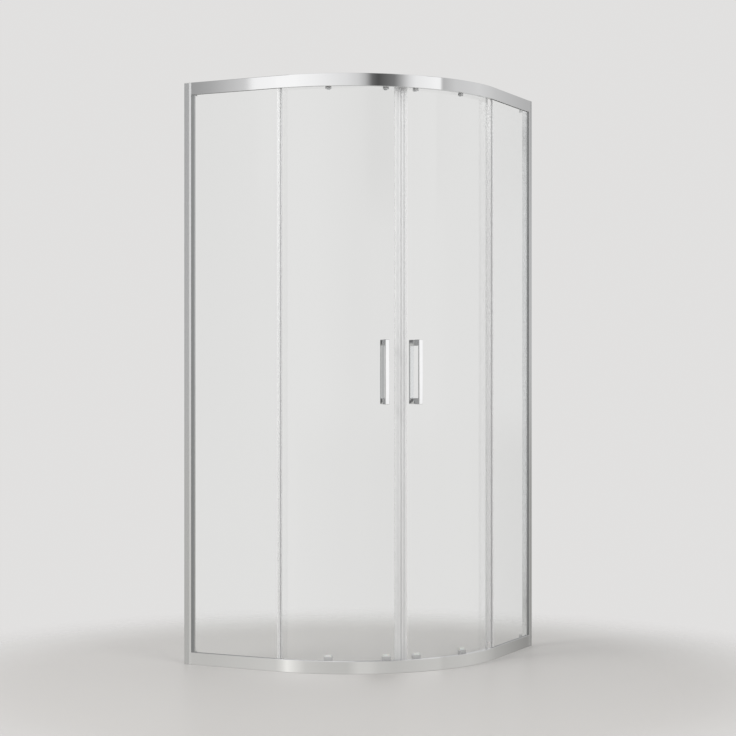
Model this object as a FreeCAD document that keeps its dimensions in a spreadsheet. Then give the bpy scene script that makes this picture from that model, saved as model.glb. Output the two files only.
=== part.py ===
"""Quadrant shower enclosure: two flat fixed panes, two curved sliding doors on twin-wheel
carriages, and a bent rail above and below them.

Millimetres, +Z up, the floor at z = 0. The origin is the middle of the square footprint. The
walls meet at (-450, +450), the left wall is the plane x = -450 and the back wall y = +450.
Round pieces are drawn about the bend's own axis. Angles on the bend run from 0 at the left
tangent point, through 45 where the doors meet, to 90 at the right tangent point.
"""
import FreeCAD, Part
import Sketcher
import os
import re

os.makedirs("parts", exist_ok=True)
doc = FreeCAD.newDocument("QuadrantEnclosure")

# ---------------------------------------------------------------- driving dimensions
SIZES = {
    # overall
    "footprint": 900,              # each side of the square plan
    "overall_height": 1950,
    "curve_radius": 550,           # outer face of the bent rails
    "meeting_angle": 45,           # where the two doors meet
    # rails
    "rail_height": 41,
    "rail_depth": 42,
    "rail_wall": 1.6,
    "rail_bevel": 1.2,             # bright bevel on the rail's visible long edges
    "pocket_width": 10,            # groove for the fixed pane
    "pocket_depth": 15,
    "drip_lip": 3,                 # inner lip under the top rail's roof
    "upstand": 8,                  # inner water bar of the bottom rail
    "lip_wall": 1.2,
    "lip_gap": 3.6,                # door pane to the lip that keeps the wheels in
    "track_lift": 7,               # running face above the top rail's lower edge
    "track_lip": 3,
    "hook_height": 31.6,           # top of the bottom rail's hooked shelf
    "hook_drop": 6.6,
    "port_radius": 3.4,            # screw ports inside the rails
    "port_inset": 2.4,
    "port_spacing": 8,
    "screw_radius": 2,
    "screw_length": 12,
    "screw_head": 2,               # height of the small screws' heads
    "rail_gap": 0.2,               # rail end to side profile, and filler to rail
    "filler_leg": 8,
    # wall channels and side profiles
    "side_depth": 30,
    "side_reach": 27,              # wall to the rail's end
    "face_fall": 0.6,              # the side profile's face leans back towards the pane
    "channel_leg": 18,
    "tail_start": 4,
    "tail_web": 12,                # wall to the floor of the side profile's glass groove
    "slide_gap": 0.2,
    "cap_thickness": 1.5,
    "wall_hole_radius": 2.5,
    "wall_hole_spacing": 750,
    "profile_screw_reach": 12,     # wall to the side screws
    "profile_screw_radius": 1.75,
    # panes
    "glass_thickness": 6,
    "glass_setback": 4,            # fixed pane behind the rail's outer face
    "glass_bite": 13,              # fixed pane inside the rails
    "glass_edge_gap": 1,
    "pane_overhang": 14,           # fixed pane past the tangent point
    "door_inset": 30,              # outer face of the door panes behind the rail's
    "door_tuck": 25,               # door pane hidden behind each rail
    "door_rear_angle": -0.5,
    "meeting_gap": 12,             # door pane edge to the meeting plane
    "hole_radius": 4,
    # seals
    "seal_wall": 1.2,
    "seal_leg": 10,
    "seal_fit": 0.1,
    "fin_wall": 1,
    "fin_margin": 19,              # fins stop this far from the rails, clear of the rollers
    "fin_slant": 9,
    "fin_clear": 2,
    "magnet_length": 10,
    "gasket_lip": 10,
    # top carriages
    "rear_roller_angle": 18.5,
    "front_roller_angle": 39.3,
    "travel_angle": 25,            # how far each door slides open
    "seat_gap": 0.1,
    "top_bolt_drop": 1,            # glass bolt below the top rail's lower edge
    "bracket_thickness": 2.5,
    "bracket_foot": 20,
    "bracket_width": 40,
    "wheel_radius": 11,
    "wheel_width": 5,
    "wheel_offset": 10.5,          # door pane to the inner face of the top wheels
    "wheel_spacing": 24,
    "wheel_lift": 0.2,
    "axle_radius": 2.5,
    "shoulder": 1.5,               # step of an axle's shoulder and riveted head
    "rivet_head": 1,
    "tread_depth": 2.5,            # rim below the running face of a wheel
    "tread_groove": 0.8,
    "tread_chamfer": 0.6,
    "hub_recess": 1.5,             # recess that takes the axle's head
    "running_gap": 0.05,
    "wheel_side_gap": 0.3,
    # bottom rollers
    "bottom_bolt_height": 39.5,
    "guide_radius": 8,
    "guide_width": 5,
    "guide_offset": 9,             # door pane to the inner face of the bottom wheels
    "guide_gap": 0.3,
    "pin_radius": 2,
    "release_travel": 5.5,
    "housing_width": 28,
    "housing_depth": 12,
    "housing_rise": 12,
    "housing_fall": 7.5,
    "housing_wall": 1.5,
    "blade_width": 12,
    "blade_thickness": 2,
    "blade_gap": 0.5,              # pane seat to the slider
    "blade_chamfer": 2,
    "button_width": 22,
    "button_depth": 6.5,
    "boss_radius": 4,
    "spring_radius": 2.5,
    "spring_wall": 0.6,
    # bolts, handles
    "bolt_radius": 3,
    "bolt_head_radius": 8,
    "bolt_head_height": 4,
    "handle_angle": 39,
    "handle_height": 980,
    "handle_length": 212,
    "handle_width": 14,
    "handle_bar": 8,
    "handle_post": 20,
    "handle_reach": 36,
    "handle_round": 1.5,
    "stud_radius": 3,
    "stud_depth": 14,
    "washer_thickness": 1,
    "washer_radius": 6.5,
    # stops
    "stop_length": 14,
    "stop_gap": 1,
}

sheet = doc.addObject("Spreadsheet::Sheet", "Sizes")
for row, (alias, size) in enumerate(SIZES.items(), start=1):
    sheet.set("A%d" % row, str(size))
    sheet.setAlias("A%d" % row, alias)
doc.recompute()


def bound(text):
    """An expression in which each size's name points at its cell."""
    return re.sub(r"[a-z_]+", lambda m: "Sizes." + m.group(0) if m.group(0) in SIZES else m.group(0), text)


def value(text):
    return float(sheet.evalExpression(bound(text)))


# ---------------------------------------------------------------- shared positions
STRAIGHT = "(footprint - curve_radius)"
BEND_X = "(footprint / 2 - curve_radius)"
BEND_Y = "(curve_radius - footprint / 2)"
TOP_EDGE = "(overall_height - rail_height)"
OUTER_IN = "(curve_radius - rail_wall)"
POCKET_IN = "(curve_radius - rail_wall - pocket_width)"
WEB_IN = "(curve_radius - 2 * rail_wall - pocket_width)"
RAIL_IN = "(curve_radius - rail_depth)"
PANE_OUT = "(curve_radius - glass_setback)"
PANE_IN = "(curve_radius - glass_setback - glass_thickness)"
DOOR_OUT = "(curve_radius - door_inset)"
DOOR_IN = "(curve_radius - door_inset - glass_thickness)"
LIP_IN = "(%s + lip_gap)" % DOOR_OUT
LIP_OUT = "(%s + lip_wall)" % LIP_IN
WHEEL_IN = "(%s + wheel_offset)" % DOOR_OUT
GUIDE_IN = "(%s + guide_offset)" % DOOR_OUT
SIDE_IN = "(curve_radius - side_depth)"
SEAT = "(%s + seat_gap)" % DOOR_OUT
DOOR_FRONT_ANGLE = "(meeting_angle - meeting_gap / (%s - glass_thickness / 2) * 180 / pi)" % DOOR_OUT
RAIL_END = "(footprint - curve_radius - side_reach - rail_gap)"
GUIDE_DROP = "(bottom_bolt_height - hook_height + rail_wall + guide_gap + guide_radius)"
AXLE_RISE = "(top_bolt_drop + track_lift + wheel_lift + wheel_radius)"
SIDES = ("left", "right")


def at_bend(z="0", angle="90"):
    """Placement about the bend's axis: the piece's own +X points along the given angle."""
    return "placement(vector(%s; %s; %s); rotation(vector(0; 0; 1); %s - 90))" % (BEND_X, BEND_Y, z, angle)


def at_point(radius, across, z, angle):
    """Placement at a radius and a tangential offset, +X pointing outwards."""
    x = "%s + (%s) * sin(%s) + (%s) * cos(%s)" % (BEND_X, radius, angle, across, angle)
    y = "%s - (%s) * cos(%s) + (%s) * sin(%s)" % (BEND_Y, radius, angle, across, angle)
    return "placement(vector(%s; %s; %s); rotation(vector(0; 0; 1); %s - 90))" % (x, y, z, angle)


def on_side(side, angle):
    """The same angle on the left door, or its mirror image on the right one."""
    return "(%s)" % angle if side == "left" else "(2 * meeting_angle - (%s))" % angle


def plan(side, reach, radius):
    """Point in plan, given by its distance from the wall and from the bend's axis line."""
    if side == "left":
        return ("%s - %s" % (reach, STRAIGHT), "-(%s)" % radius)
    return ("%s" % radius, "%s - (%s)" % (STRAIGHT, reach))


# ---------------------------------------------------------------- modelling helpers
def body(label, where):
    piece = doc.addObject("PartDesign::Body", label)
    piece.Label = label
    piece.setExpression("Placement", bound(where))
    return piece


def new_sketch(piece, role, offset=None):
    sketch = piece.newObject("Sketcher::SketchObject", "sketch")
    plane = [feature for feature in piece.Origin.OriginFeatures if feature.Role == role][0]
    sketch.AttachmentSupport = [(plane, "")]
    sketch.MapMode = "FlatFace"
    if offset:
        sketch.setExpression("AttachmentOffset.Base.z", bound(offset))
    return sketch


def pin_down(sketch, geometry, corner, across, up):
    """Hold one point of the sketch at two expressions."""
    for kind, axis, text in (("DistanceX", -2, across), ("DistanceY", -1, up)):
        if text == "0":
            sketch.addConstraint(Sketcher.Constraint("PointOnObject", geometry, corner, axis))
            continue
        index = sketch.addConstraint(Sketcher.Constraint(kind, -1, 1, geometry, corner, value(text)))
        sketch.setExpression("Constraints[%d]" % index, bound(text))


def draw_loop(sketch, points):
    """Closed outline of straight lines."""
    first = sketch.GeometryCount
    corners = [FreeCAD.Vector(value(across), value(up), 0) for across, up in points]
    count = len(corners)
    for index in range(count):
        sketch.addGeometry(Part.LineSegment(corners[index], corners[(index + 1) % count]), False)
    for index in range(count):
        following = first + (index + 1) % count
        sketch.addConstraint(Sketcher.Constraint("Coincident", first + index, 2, following, 1))
    for index, (across, up) in enumerate(points):
        pin_down(sketch, first + index, 1, across, up)


def draw_circle(sketch, across, up, radius):
    centre = FreeCAD.Vector(value(across), value(up), 0)
    circle = sketch.addGeometry(Part.Circle(centre, FreeCAD.Vector(0, 0, 1), value(radius)), False)
    pin_down(sketch, circle, 3, across, up)
    index = sketch.addConstraint(Sketcher.Constraint("Radius", circle, value(radius)))
    sketch.setExpression("Constraints[%d]" % index, bound(radius))


def outline(piece, role, *loops, offset=None):
    sketch = new_sketch(piece, role, offset)
    for points in loops:
        draw_loop(sketch, points)
    return sketch


def circles(piece, role, *rings, offset=None):
    sketch = new_sketch(piece, role, offset)
    for across, up, radius in rings:
        draw_circle(sketch, across, up, radius)
    return sketch


def box_loop(low_across, low_up, high_across, high_up):
    return [(low_across, low_up), (high_across, low_up), (high_across, high_up), (low_across, high_up)]


def pad(piece, sketch, length, reverse=False, kind="PartDesign::Pad"):
    feature = piece.newObject(kind, kind.split("::")[1])
    feature.Profile = sketch
    feature.Reversed = reverse
    feature.setExpression("Length", bound(length))
    piece.Tip = feature
    return feature


def pocket(piece, sketch, length, reverse=False):
    return pad(piece, sketch, length, reverse, "PartDesign::Pocket")


def turn(piece, sketch, angle, axis="V_Axis", reverse=False, middle=False, kind="PartDesign::Revolution"):
    feature = piece.newObject(kind, kind.split("::")[1])
    feature.Profile = sketch
    feature.ReferenceAxis = (sketch, [axis])
    feature.Midplane = middle
    feature.Reversed = reverse
    feature.setExpression("Angle", bound(angle))
    piece.Tip = feature
    return feature


def group(label, members):
    """Identical loose pieces kept in one node as separate solids."""
    bundle = doc.addObject("Part::Compound", label)
    bundle.Label = label
    bundle.Links = members
    return bundle


def drilled(label, blank, drills):
    """A blank with round holes drilled through it."""
    tools = doc.addObject("Part::Compound", label + "_drills")
    tools.Links = drills
    cut = doc.addObject("Part::Cut", label)
    cut.Label = label
    cut.Base = blank
    cut.Tool = tools
    return cut


def drill(radius_from, length, z, angle, radius):
    """Cylinder that lies along a radius of the bend."""
    tool = doc.addObject("Part::Cylinder", "drill")
    tool.setExpression("Radius", bound(radius))
    tool.setExpression("Height", bound(length))
    x = "%s + (%s) * sin(%s)" % (BEND_X, radius_from, angle)
    y = "%s - (%s) * cos(%s)" % (BEND_Y, radius_from, angle)
    spin = "rotation(vector(0; 0; 1); %s - 90) * rotation(vector(0; 1; 0); 90)" % angle
    tool.setExpression("Placement", bound("placement(vector(%s; %s; %s); %s)" % (x, y, z, spin)))
    return tool


def lathe(label, where, points):
    """Turned piece about its own X axis, from half of its lengthwise section."""
    piece = body(label, where)
    turn(piece, outline(piece, "XZ_Plane", points), "360", axis="H_Axis")
    return piece


# ---------------------------------------------------------------- rails
def along_rail(piece, front, left, right, cutting=False):
    """Run one section, drawn for each stretch, round the bend and along both straights."""
    bend_kind = "PartDesign::Groove" if cutting else "PartDesign::Revolution"
    straight_kind = "PartDesign::Pocket" if cutting else "PartDesign::Pad"
    turn(piece, front, "90", reverse=True, kind=bend_kind)
    pad(piece, right, RAIL_END, not cutting, straight_kind)
    pad(piece, left, RAIL_END, not cutting, straight_kind)


def mirrored(points):
    return [("-(%s)" % radius, up) for radius, up in points]


def rail(label, z, section, chamber, ports):
    piece = body(label, at_bend(z))
    front = outline(piece, "XZ_Plane", section, chamber)
    right = outline(piece, "XZ_Plane", section, chamber)
    left = outline(piece, "YZ_Plane", mirrored(section), mirrored(chamber))
    along_rail(piece, front, left, right)
    for radius, cutting in (("port_radius", False), ("screw_radius", True)):
        rings = [(across, up, radius) for across, up in ports]
        back = [("-(%s)" % across, up, radius) for across, up in ports]
        front = circles(piece, "XZ_Plane", *rings)
        right = circles(piece, "XZ_Plane", *rings)
        left = circles(piece, "YZ_Plane", *back)
        along_rail(piece, front, left, right, cutting)
    return piece


PORT_RADII = ("%s - port_inset" % WEB_IN, "%s - port_inset - port_spacing" % WEB_IN)


def make_top_rail():
    section = [
        ("curve_radius", "0"),
        ("curve_radius", "rail_height - rail_bevel"),
        ("curve_radius - rail_bevel", "rail_height"),
        (RAIL_IN, "rail_height"),
        (RAIL_IN, "rail_height - drip_lip"),
        (RAIL_IN + " + rail_wall", "rail_height - drip_lip"),
        (RAIL_IN + " + rail_wall", "rail_height - rail_wall"),
        (WEB_IN, "rail_height - rail_wall"),
        (WEB_IN, "track_lift"),
        (LIP_OUT, "track_lift"),
        (LIP_OUT, "track_lift + track_lip"),
        (LIP_IN, "track_lift + track_lip"),
        (LIP_IN, "track_lift - rail_wall"),
        (WEB_IN, "track_lift - rail_wall"),
        (WEB_IN, "0"),
        (POCKET_IN, "0"),
        (POCKET_IN, "pocket_depth"),
        (OUTER_IN, "pocket_depth"),
        (OUTER_IN, "0"),
    ]
    chamber = box_loop(POCKET_IN, "pocket_depth + rail_wall", OUTER_IN, "rail_height - rail_wall")
    ports = [(radius, "rail_height - rail_wall - port_inset") for radius in PORT_RADII]
    return rail("top_rail", TOP_EDGE, section, chamber, ports)


def make_bottom_rail():
    section = [
        ("curve_radius", "0"),
        ("curve_radius", "rail_height - rail_bevel"),
        ("curve_radius - rail_bevel / 2", "rail_height"),
        (OUTER_IN, "rail_height"),
        (OUTER_IN, "rail_height - pocket_depth"),
        (POCKET_IN, "rail_height - pocket_depth"),
        (POCKET_IN, "rail_height"),
        (WEB_IN, "rail_height"),
        (WEB_IN, "hook_height"),
        (LIP_IN, "hook_height"),
        (LIP_IN, "hook_height - hook_drop"),
        (LIP_OUT, "hook_height - hook_drop"),
        (LIP_OUT, "hook_height - rail_wall"),
        (WEB_IN, "hook_height - rail_wall"),
        (WEB_IN, "rail_wall"),
        (RAIL_IN + " + rail_wall", "rail_wall"),
        (RAIL_IN + " + rail_wall", "upstand"),
        (RAIL_IN, "upstand"),
        (RAIL_IN, "0"),
    ]
    chamber = box_loop(POCKET_IN, "rail_wall", OUTER_IN, "rail_height - pocket_depth - rail_wall")
    ports = [(radius, "rail_wall + port_inset") for radius in PORT_RADII]
    return rail("bottom_rail", "0", section, chamber, ports)


def make_filler(label, z, mouth, inward):
    """Snap-in strip that closes the empty glass groove round the bend."""
    piece = body(label, at_bend(z, "meeting_angle"))
    low = POCKET_IN + " + rail_gap"
    high = OUTER_IN + " - rail_gap"
    face = "%s %s rail_gap" % (mouth, inward)
    floor = "%s %s rail_gap %s seal_wall" % (mouth, inward, inward)
    leg = "%s %s rail_gap %s filler_leg" % (mouth, inward, inward)
    points = [
        (low, face),
        (high, face),
        (high, leg),
        (high + " - seal_wall", leg),
        (high + " - seal_wall", floor),
        (low + " + seal_wall", floor),
        (low + " + seal_wall", leg),
        (low, leg),
    ]
    past_seal = "(pane_overhang + 2 * seal_wall) / curve_radius * 180 / pi"
    turn(piece, outline(piece, "XZ_Plane", points), "90 - 2 * %s" % past_seal, middle=True)
    return piece


# ---------------------------------------------------------------- wall channels and side profiles
def screw_heights():
    middle = "overall_height / 2"
    return ["%s - wall_hole_spacing" % middle, middle, "%s + wall_hole_spacing" % middle]


def side_holes(piece, side):
    """Clearance holes for the side screws, from the room inside towards the outer face."""
    role = "XZ_Plane" if side == "left" else "YZ_Plane"
    across = "profile_screw_reach - rail_wall - %s - tail_start + slide_gap" % STRAIGHT
    if side == "right":
        across = "-(%s)" % across
    rings = [(across, up, "profile_screw_radius") for up in screw_heights()]
    pocket(piece, circles(piece, role, *rings), SIDE_IN + " + 2 * rail_wall + 2 * slide_gap", True)


def make_wall_channel(side):
    piece = body(side + "_wall_channel", at_bend())
    points = [
        ("0", "curve_radius"),
        ("channel_leg", "curve_radius"),
        ("channel_leg", OUTER_IN),
        ("rail_wall", OUTER_IN),
        ("rail_wall", SIDE_IN + " + rail_wall"),
        ("channel_leg", SIDE_IN + " + rail_wall"),
        ("channel_leg", SIDE_IN),
        ("0", SIDE_IN),
    ]
    pad(piece, outline(piece, "XY_Plane", [plan(side, *point) for point in points]), "overall_height - cap_thickness")
    middle = "curve_radius - side_depth / 2"
    if side == "left":
        rings = [("-(%s)" % middle, up, "wall_hole_radius") for up in screw_heights()]
        pocket(piece, circles(piece, "YZ_Plane", *rings), "footprint")
    else:
        rings = [(middle, up, "wall_hole_radius") for up in screw_heights()]
        pocket(piece, circles(piece, "XZ_Plane", *rings), "footprint")
    side_holes(piece, side)
    return piece


def make_side_profile(side):
    piece = body(side + "_side_profile", at_bend())
    tail_out = OUTER_IN + " - slide_gap"
    tail_in = SIDE_IN + " + rail_wall + slide_gap"
    nose = "channel_leg + slide_gap"
    points = [
        (nose, "curve_radius"),
        ("side_reach", "curve_radius - face_fall"),
        ("side_reach", OUTER_IN),
        (nose + " + rail_wall", OUTER_IN),
        (nose + " + rail_wall", tail_out + " - rail_wall"),
        ("tail_web", tail_out + " - rail_wall"),
        ("tail_web", POCKET_IN),
        ("side_reach", POCKET_IN),
        ("side_reach", SIDE_IN),
        (nose, SIDE_IN),
        (nose, tail_in),
        ("tail_start", tail_in),
        ("tail_start", tail_in + " + rail_wall"),
        ("tail_web - rail_wall", tail_in + " + rail_wall"),
        ("tail_web - rail_wall", tail_out + " - rail_wall"),
        ("tail_start", tail_out + " - rail_wall"),
        ("tail_start", tail_out),
        (nose, tail_out),
    ]
    chamber = box_loop("tail_web", tail_in + " + rail_wall", "side_reach - rail_wall", WEB_IN)
    loops = [[plan(side, *point) for point in loop] for loop in (points, chamber)]
    pad(piece, outline(piece, "XY_Plane", *loops), "overall_height - cap_thickness")
    side_holes(piece, side)
    heights = ["rail_wall + port_inset", "overall_height - rail_wall - port_inset"]
    if side == "left":
        rings = [("-(%s)" % radius, up, "screw_radius") for radius in PORT_RADII for up in heights]
        front = circles(piece, "YZ_Plane", *rings)
    else:
        rings = [(radius, up, "screw_radius") for radius in PORT_RADII for up in heights]
        front = circles(piece, "XZ_Plane", *rings)
    pocket(piece, front, RAIL_END + " + 2 * rail_wall")
    return piece


def make_end_caps():
    """Caps on the rails' inner halves, and on top of the wall channels."""
    members = []
    for side in SIDES:
        for z in ("rail_gap", TOP_EDGE + " + rail_gap"):
            piece = body("rail_end_cap", at_bend(z))
            loop = box_loop("side_reach - cap_thickness", RAIL_IN, "side_reach", SIDE_IN + " - rail_gap")
            pad(piece, outline(piece, "XY_Plane", [plan(side, *point) for point in loop]), "rail_height - 2 * rail_gap")
            members.append(piece)
        piece = body("channel_cap", at_bend("overall_height - cap_thickness"))
        loop = box_loop("0", SIDE_IN, "side_reach", "curve_radius")
        pad(piece, outline(piece, "XY_Plane", [plan(side, *point) for point in loop]), "cap_thickness")
        members.append(piece)
    return group("end_caps", members)


def screw_section(head_radius, head_height, shank_radius, shank_length):
    """Half section of a screw: domed head on the -X side, shank along +X."""
    return [
        ("0", "0"),
        (shank_length, "0"),
        (shank_length, shank_radius),
        ("0", shank_radius),
        ("0", head_radius),
        ("-(%s) * 0.45" % head_height, head_radius),
        ("-(%s) * 0.85" % head_height, "(%s) * 0.75" % head_radius),
        ("-(%s)" % head_height, "(%s) * 0.35" % head_radius),
        ("-(%s)" % head_height, "0"),
    ]


def make_profile_screws():
    """Side screws that lock each side profile in its wall channel."""
    members = []
    length = "2 * rail_wall + screw_head"
    section = screw_section("profile_screw_radius * 2", "screw_head", "profile_screw_radius", length)
    reach = "%s + tail_start - slide_gap - profile_screw_reach + rail_wall" % STRAIGHT
    for side in SIDES:
        for up in screw_heights():
            if side == "left":
                x = "%s - (%s)" % (BEND_X, reach)
                y = "%s - %s" % (BEND_Y, SIDE_IN)
                spin = "-90"
            else:
                x = "%s + %s" % (BEND_X, SIDE_IN)
                y = "%s + (%s)" % (BEND_Y, reach)
                spin = "0"
            where = "placement(vector(%s; %s; %s); rotation(vector(0; 0; 1); %s))" % (x, y, up, spin)
            members.append(lathe("profile_screw", where, section))
    return group("profile_screws", members)


def make_rail_screws():
    """Screws through each side profile's front wall into the rail's screw ports."""
    members = []
    section = screw_section("port_inset - running_gap", "screw_head", "screw_radius - running_gap", "screw_length")
    heights = ["rail_wall + port_inset", "overall_height - rail_wall - port_inset"]
    reach = "(footprint - curve_radius - side_reach + rail_wall)"
    for side in SIDES:
        for radius in PORT_RADII:
            for up in heights:
                if side == "left":
                    x = "%s - %s" % (BEND_X, reach)
                    y = "%s - (%s)" % (BEND_Y, radius)
                    spin = "0"
                else:
                    x = "%s + (%s)" % (BEND_X, radius)
                    y = "%s + %s" % (BEND_Y, reach)
                    spin = "-90"
                where = "placement(vector(%s; %s; %s); rotation(vector(0; 0; 1); %s))" % (x, y, up, spin)
                members.append(lathe("rail_screw", where, section))
    return group("rail_screws", members)


# ---------------------------------------------------------------- fixed panes and their seals
PANE_END = "%s + pane_overhang" % STRAIGHT


def make_fixed_glass(side):
    z = "(rail_height - glass_bite)"
    piece = body(side + "_fixed_glass", at_bend(z))
    loop = box_loop("tail_web + glass_edge_gap", PANE_IN, PANE_END, PANE_OUT)
    sketch = outline(piece, "XY_Plane", [plan(side, *point) for point in loop])
    pad(piece, sketch, "%s + glass_bite - %s" % (TOP_EDGE, z))
    return piece


def make_glazing_gaskets():
    """Wedge strips beside the fixed panes, upright in the side profiles and flat in the rails."""
    members = []
    nose = "channel_leg + slide_gap + rail_wall + seal_fit"
    tall = "%s - rail_height - 2 * rail_gap" % TOP_EDGE
    for side in SIDES:
        outer = [
            (nose, PANE_OUT),
            ("side_reach + gasket_lip", PANE_OUT),
            ("side_reach + gasket_lip - seal_wall", PANE_OUT + " + seal_wall"),
            ("side_reach + rail_gap", PANE_OUT + " + seal_wall"),
            ("side_reach + rail_gap", OUTER_IN + " - seal_fit"),
            (nose, OUTER_IN + " - seal_fit"),
        ]
        inner = [
            ("tail_web + glass_edge_gap", PANE_IN),
            ("side_reach + rail_wall", PANE_IN),
            ("side_reach", POCKET_IN + " + seal_fit"),
            ("tail_web + glass_edge_gap", POCKET_IN + " + seal_fit"),
        ]
        for points in (outer, inner):
            piece = body("upright_gasket", at_bend("rail_height + rail_gap"))
            pad(piece, outline(piece, "XY_Plane", [plan(side, *point) for point in points]), tall)
            members.append(piece)
        for z in ("rail_height - glass_bite + seal_fit", TOP_EDGE):
            for low, high in ((PANE_OUT, OUTER_IN + " - seal_fit"), (POCKET_IN + " + seal_fit", PANE_IN)):
                piece = body("level_gasket", at_bend(z))
                loop = box_loop("side_reach + rail_gap", low, STRAIGHT, high)
                sketch = outline(piece, "XY_Plane", [plan(side, *point) for point in loop])
                pad(piece, sketch, "glass_bite - seal_fit")
                members.append(piece)
    return group("glazing_gaskets", members)


def clip_and_fin(label, where, clip, fin, clip_height, fin_start, fin_height):
    """Clear seal: a clip along the pane's edge, and a fin that stops short of the rollers."""
    piece = body(label, where)
    pad(piece, outline(piece, "XY_Plane", clip), clip_height)
    pad(piece, outline(piece, "XY_Plane", fin, offset=fin_start), fin_height)
    return piece


def make_fixed_edge_seal(side):
    out = PANE_OUT + " + seal_fit"
    back = PANE_IN + " - seal_fit"
    end = PANE_END + " + seal_fit"
    clip = [
        (PANE_END + " - seal_leg", out),
        (PANE_END + " - seal_leg", out + " + seal_wall"),
        (end + " + seal_wall", out + " + seal_wall"),
        (end + " + seal_wall", back + " - seal_wall"),
        (PANE_END + " - seal_leg", back + " - seal_wall"),
        (PANE_END + " - seal_leg", back),
        (end, back),
        (end, out),
    ]
    tip = DOOR_OUT + " + fin_clear"
    fin = [
        (end + " + seal_wall", back + " - seal_wall / 2"),
        (end + " + seal_wall - fin_slant", tip),
        (end + " + seal_wall - fin_slant - fin_wall", tip),
        (end + " + seal_wall - 2 * fin_wall", back + " - seal_wall / 2"),
    ]
    loops = [[plan(side, *point) for point in loop] for loop in (clip, fin)]
    tall = "%s - rail_height - 2 * rail_gap" % TOP_EDGE
    return clip_and_fin(side + "_fixed_edge_seal", at_bend("rail_height + rail_gap"), loops[0], loops[1],
                        tall, "fin_margin", tall + " - 2 * fin_margin")


# ---------------------------------------------------------------- doors
DOOR_BOTTOM = "(rail_height - door_tuck)"
DOOR_TOP = "(%s + door_tuck)" % TOP_EDGE
TOP_BOLT = "(%s - top_bolt_drop)" % TOP_EDGE
ROLLER_ANGLES = {"rear": "rear_roller_angle", "front": "front_roller_angle"}
POST_HEIGHTS = (
    "handle_height - handle_length / 2 + handle_post / 2",
    "handle_height + handle_length / 2 - handle_post / 2",
)


def make_door_glass(side):
    middle = on_side(side, "(door_rear_angle + %s) / 2" % DOOR_FRONT_ANGLE)
    blank = body(side + "_door_blank", at_bend("0", middle))
    section = box_loop(DOOR_IN, DOOR_BOTTOM, DOOR_OUT, DOOR_TOP)
    turn(blank, outline(blank, "XZ_Plane", section), "%s - door_rear_angle" % DOOR_FRONT_ANGLE, middle=True)
    start = DOOR_IN + " - glass_thickness"
    drills = []
    for angle in ROLLER_ANGLES.values():
        for z in (TOP_BOLT, "bottom_bolt_height"):
            drills.append(drill(start, "3 * glass_thickness", z, on_side(side, angle), "hole_radius"))
    for z in POST_HEIGHTS:
        drills.append(drill(start, "3 * glass_thickness", z, on_side(side, "handle_angle"), "hole_radius"))
    return drilled(side + "_door_glass", blank, drills)


def door_edge(side, points):
    """Plan points beside a door edge: distance past the glass towards the other door, and radius."""
    sign = "" if side == "left" else "-"
    return [(radius, across if across == "0" else "%s(%s)" % (sign, across)) for across, radius in points]


def make_magnetic_seal(side):
    """Clip with a square magnet chamber that meets the other door's."""
    piece = body(side + "_magnetic_seal", at_bend(DOOR_BOTTOM, on_side(side, DOOR_FRONT_ANGLE)))
    clip = [
        ("-seal_leg", DOOR_OUT + " + seal_fit"),
        ("-seal_leg", DOOR_OUT + " + seal_fit + seal_wall"),
        ("meeting_gap - 3 * seal_fit", DOOR_OUT + " + seal_fit + seal_wall"),
        ("meeting_gap - 3 * seal_fit", DOOR_IN + " - 3 * seal_fit - seal_wall"),
        ("-seal_leg", DOOR_IN + " - 3 * seal_fit - seal_wall"),
        ("-seal_leg", DOOR_IN + " - 3 * seal_fit"),
        ("seal_fit", DOOR_IN + " - 3 * seal_fit"),
        ("seal_fit", DOOR_OUT + " + seal_fit"),
    ]
    slot = box_loop("meeting_gap - magnet_length + seal_wall", DOOR_IN, "meeting_gap - 3 * seal_fit - seal_wall",
                    DOOR_OUT)
    loops = [door_edge(side, loop) for loop in (clip, slot)]
    pad(piece, outline(piece, "XY_Plane", *loops), "%s - %s" % (DOOR_TOP, DOOR_BOTTOM))
    return piece


def make_rear_seal(side):
    """Clip on the door's rear edge, with a fin that meets the fixed pane's fin."""
    out = DOOR_OUT + " + seal_fit"
    back = DOOR_IN + " - 3 * seal_fit"
    clip = [
        ("seal_leg", out),
        ("seal_leg", out + " + seal_wall"),
        ("-(seal_fit + seal_wall)", out + " + seal_wall"),
        ("-(seal_fit + seal_wall)", back + " - seal_wall"),
        ("seal_leg", back + " - seal_wall"),
        ("seal_leg", back),
        ("-seal_fit", back),
        ("-seal_fit", out),
    ]
    tip = PANE_IN + " - seal_wall - fin_clear"
    fin = [
        ("-(seal_fit + seal_wall)", out + " + seal_wall / 2"),
        ("fin_wall - seal_fit", out + " + seal_wall / 2"),
        ("fin_slant - fin_clear", tip),
        ("fin_slant - fin_clear - fin_wall", tip),
    ]
    where = at_bend(DOOR_BOTTOM, on_side(side, "door_rear_angle"))
    tall = "%s - %s" % (DOOR_TOP, DOOR_BOTTOM)
    return clip_and_fin(side + "_rear_seal", where, door_edge(side, clip), door_edge(side, fin), tall,
                        "door_tuck + fin_margin", tall + " - 2 * door_tuck - 2 * fin_margin")


def rounded_long_edges(piece, radius):
    """Round the long outer edges of a handle's bar."""
    doc.recompute()
    bar = piece.Tip
    names = []
    for index, edge in enumerate(bar.Shape.Edges, start=1):
        along = edge.Vertexes[-1].Point - edge.Vertexes[0].Point
        upright = abs(along.z) > 0.99 * along.Length
        if upright and along.Length > value("handle_length") - value("handle_post"):
            names.append("Edge%d" % index)
    feature = piece.newObject("PartDesign::Fillet", "Fillet")
    feature.Base = (bar, names)
    feature.setExpression("Radius", bound(radius))
    piece.Tip = feature
    return feature


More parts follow.
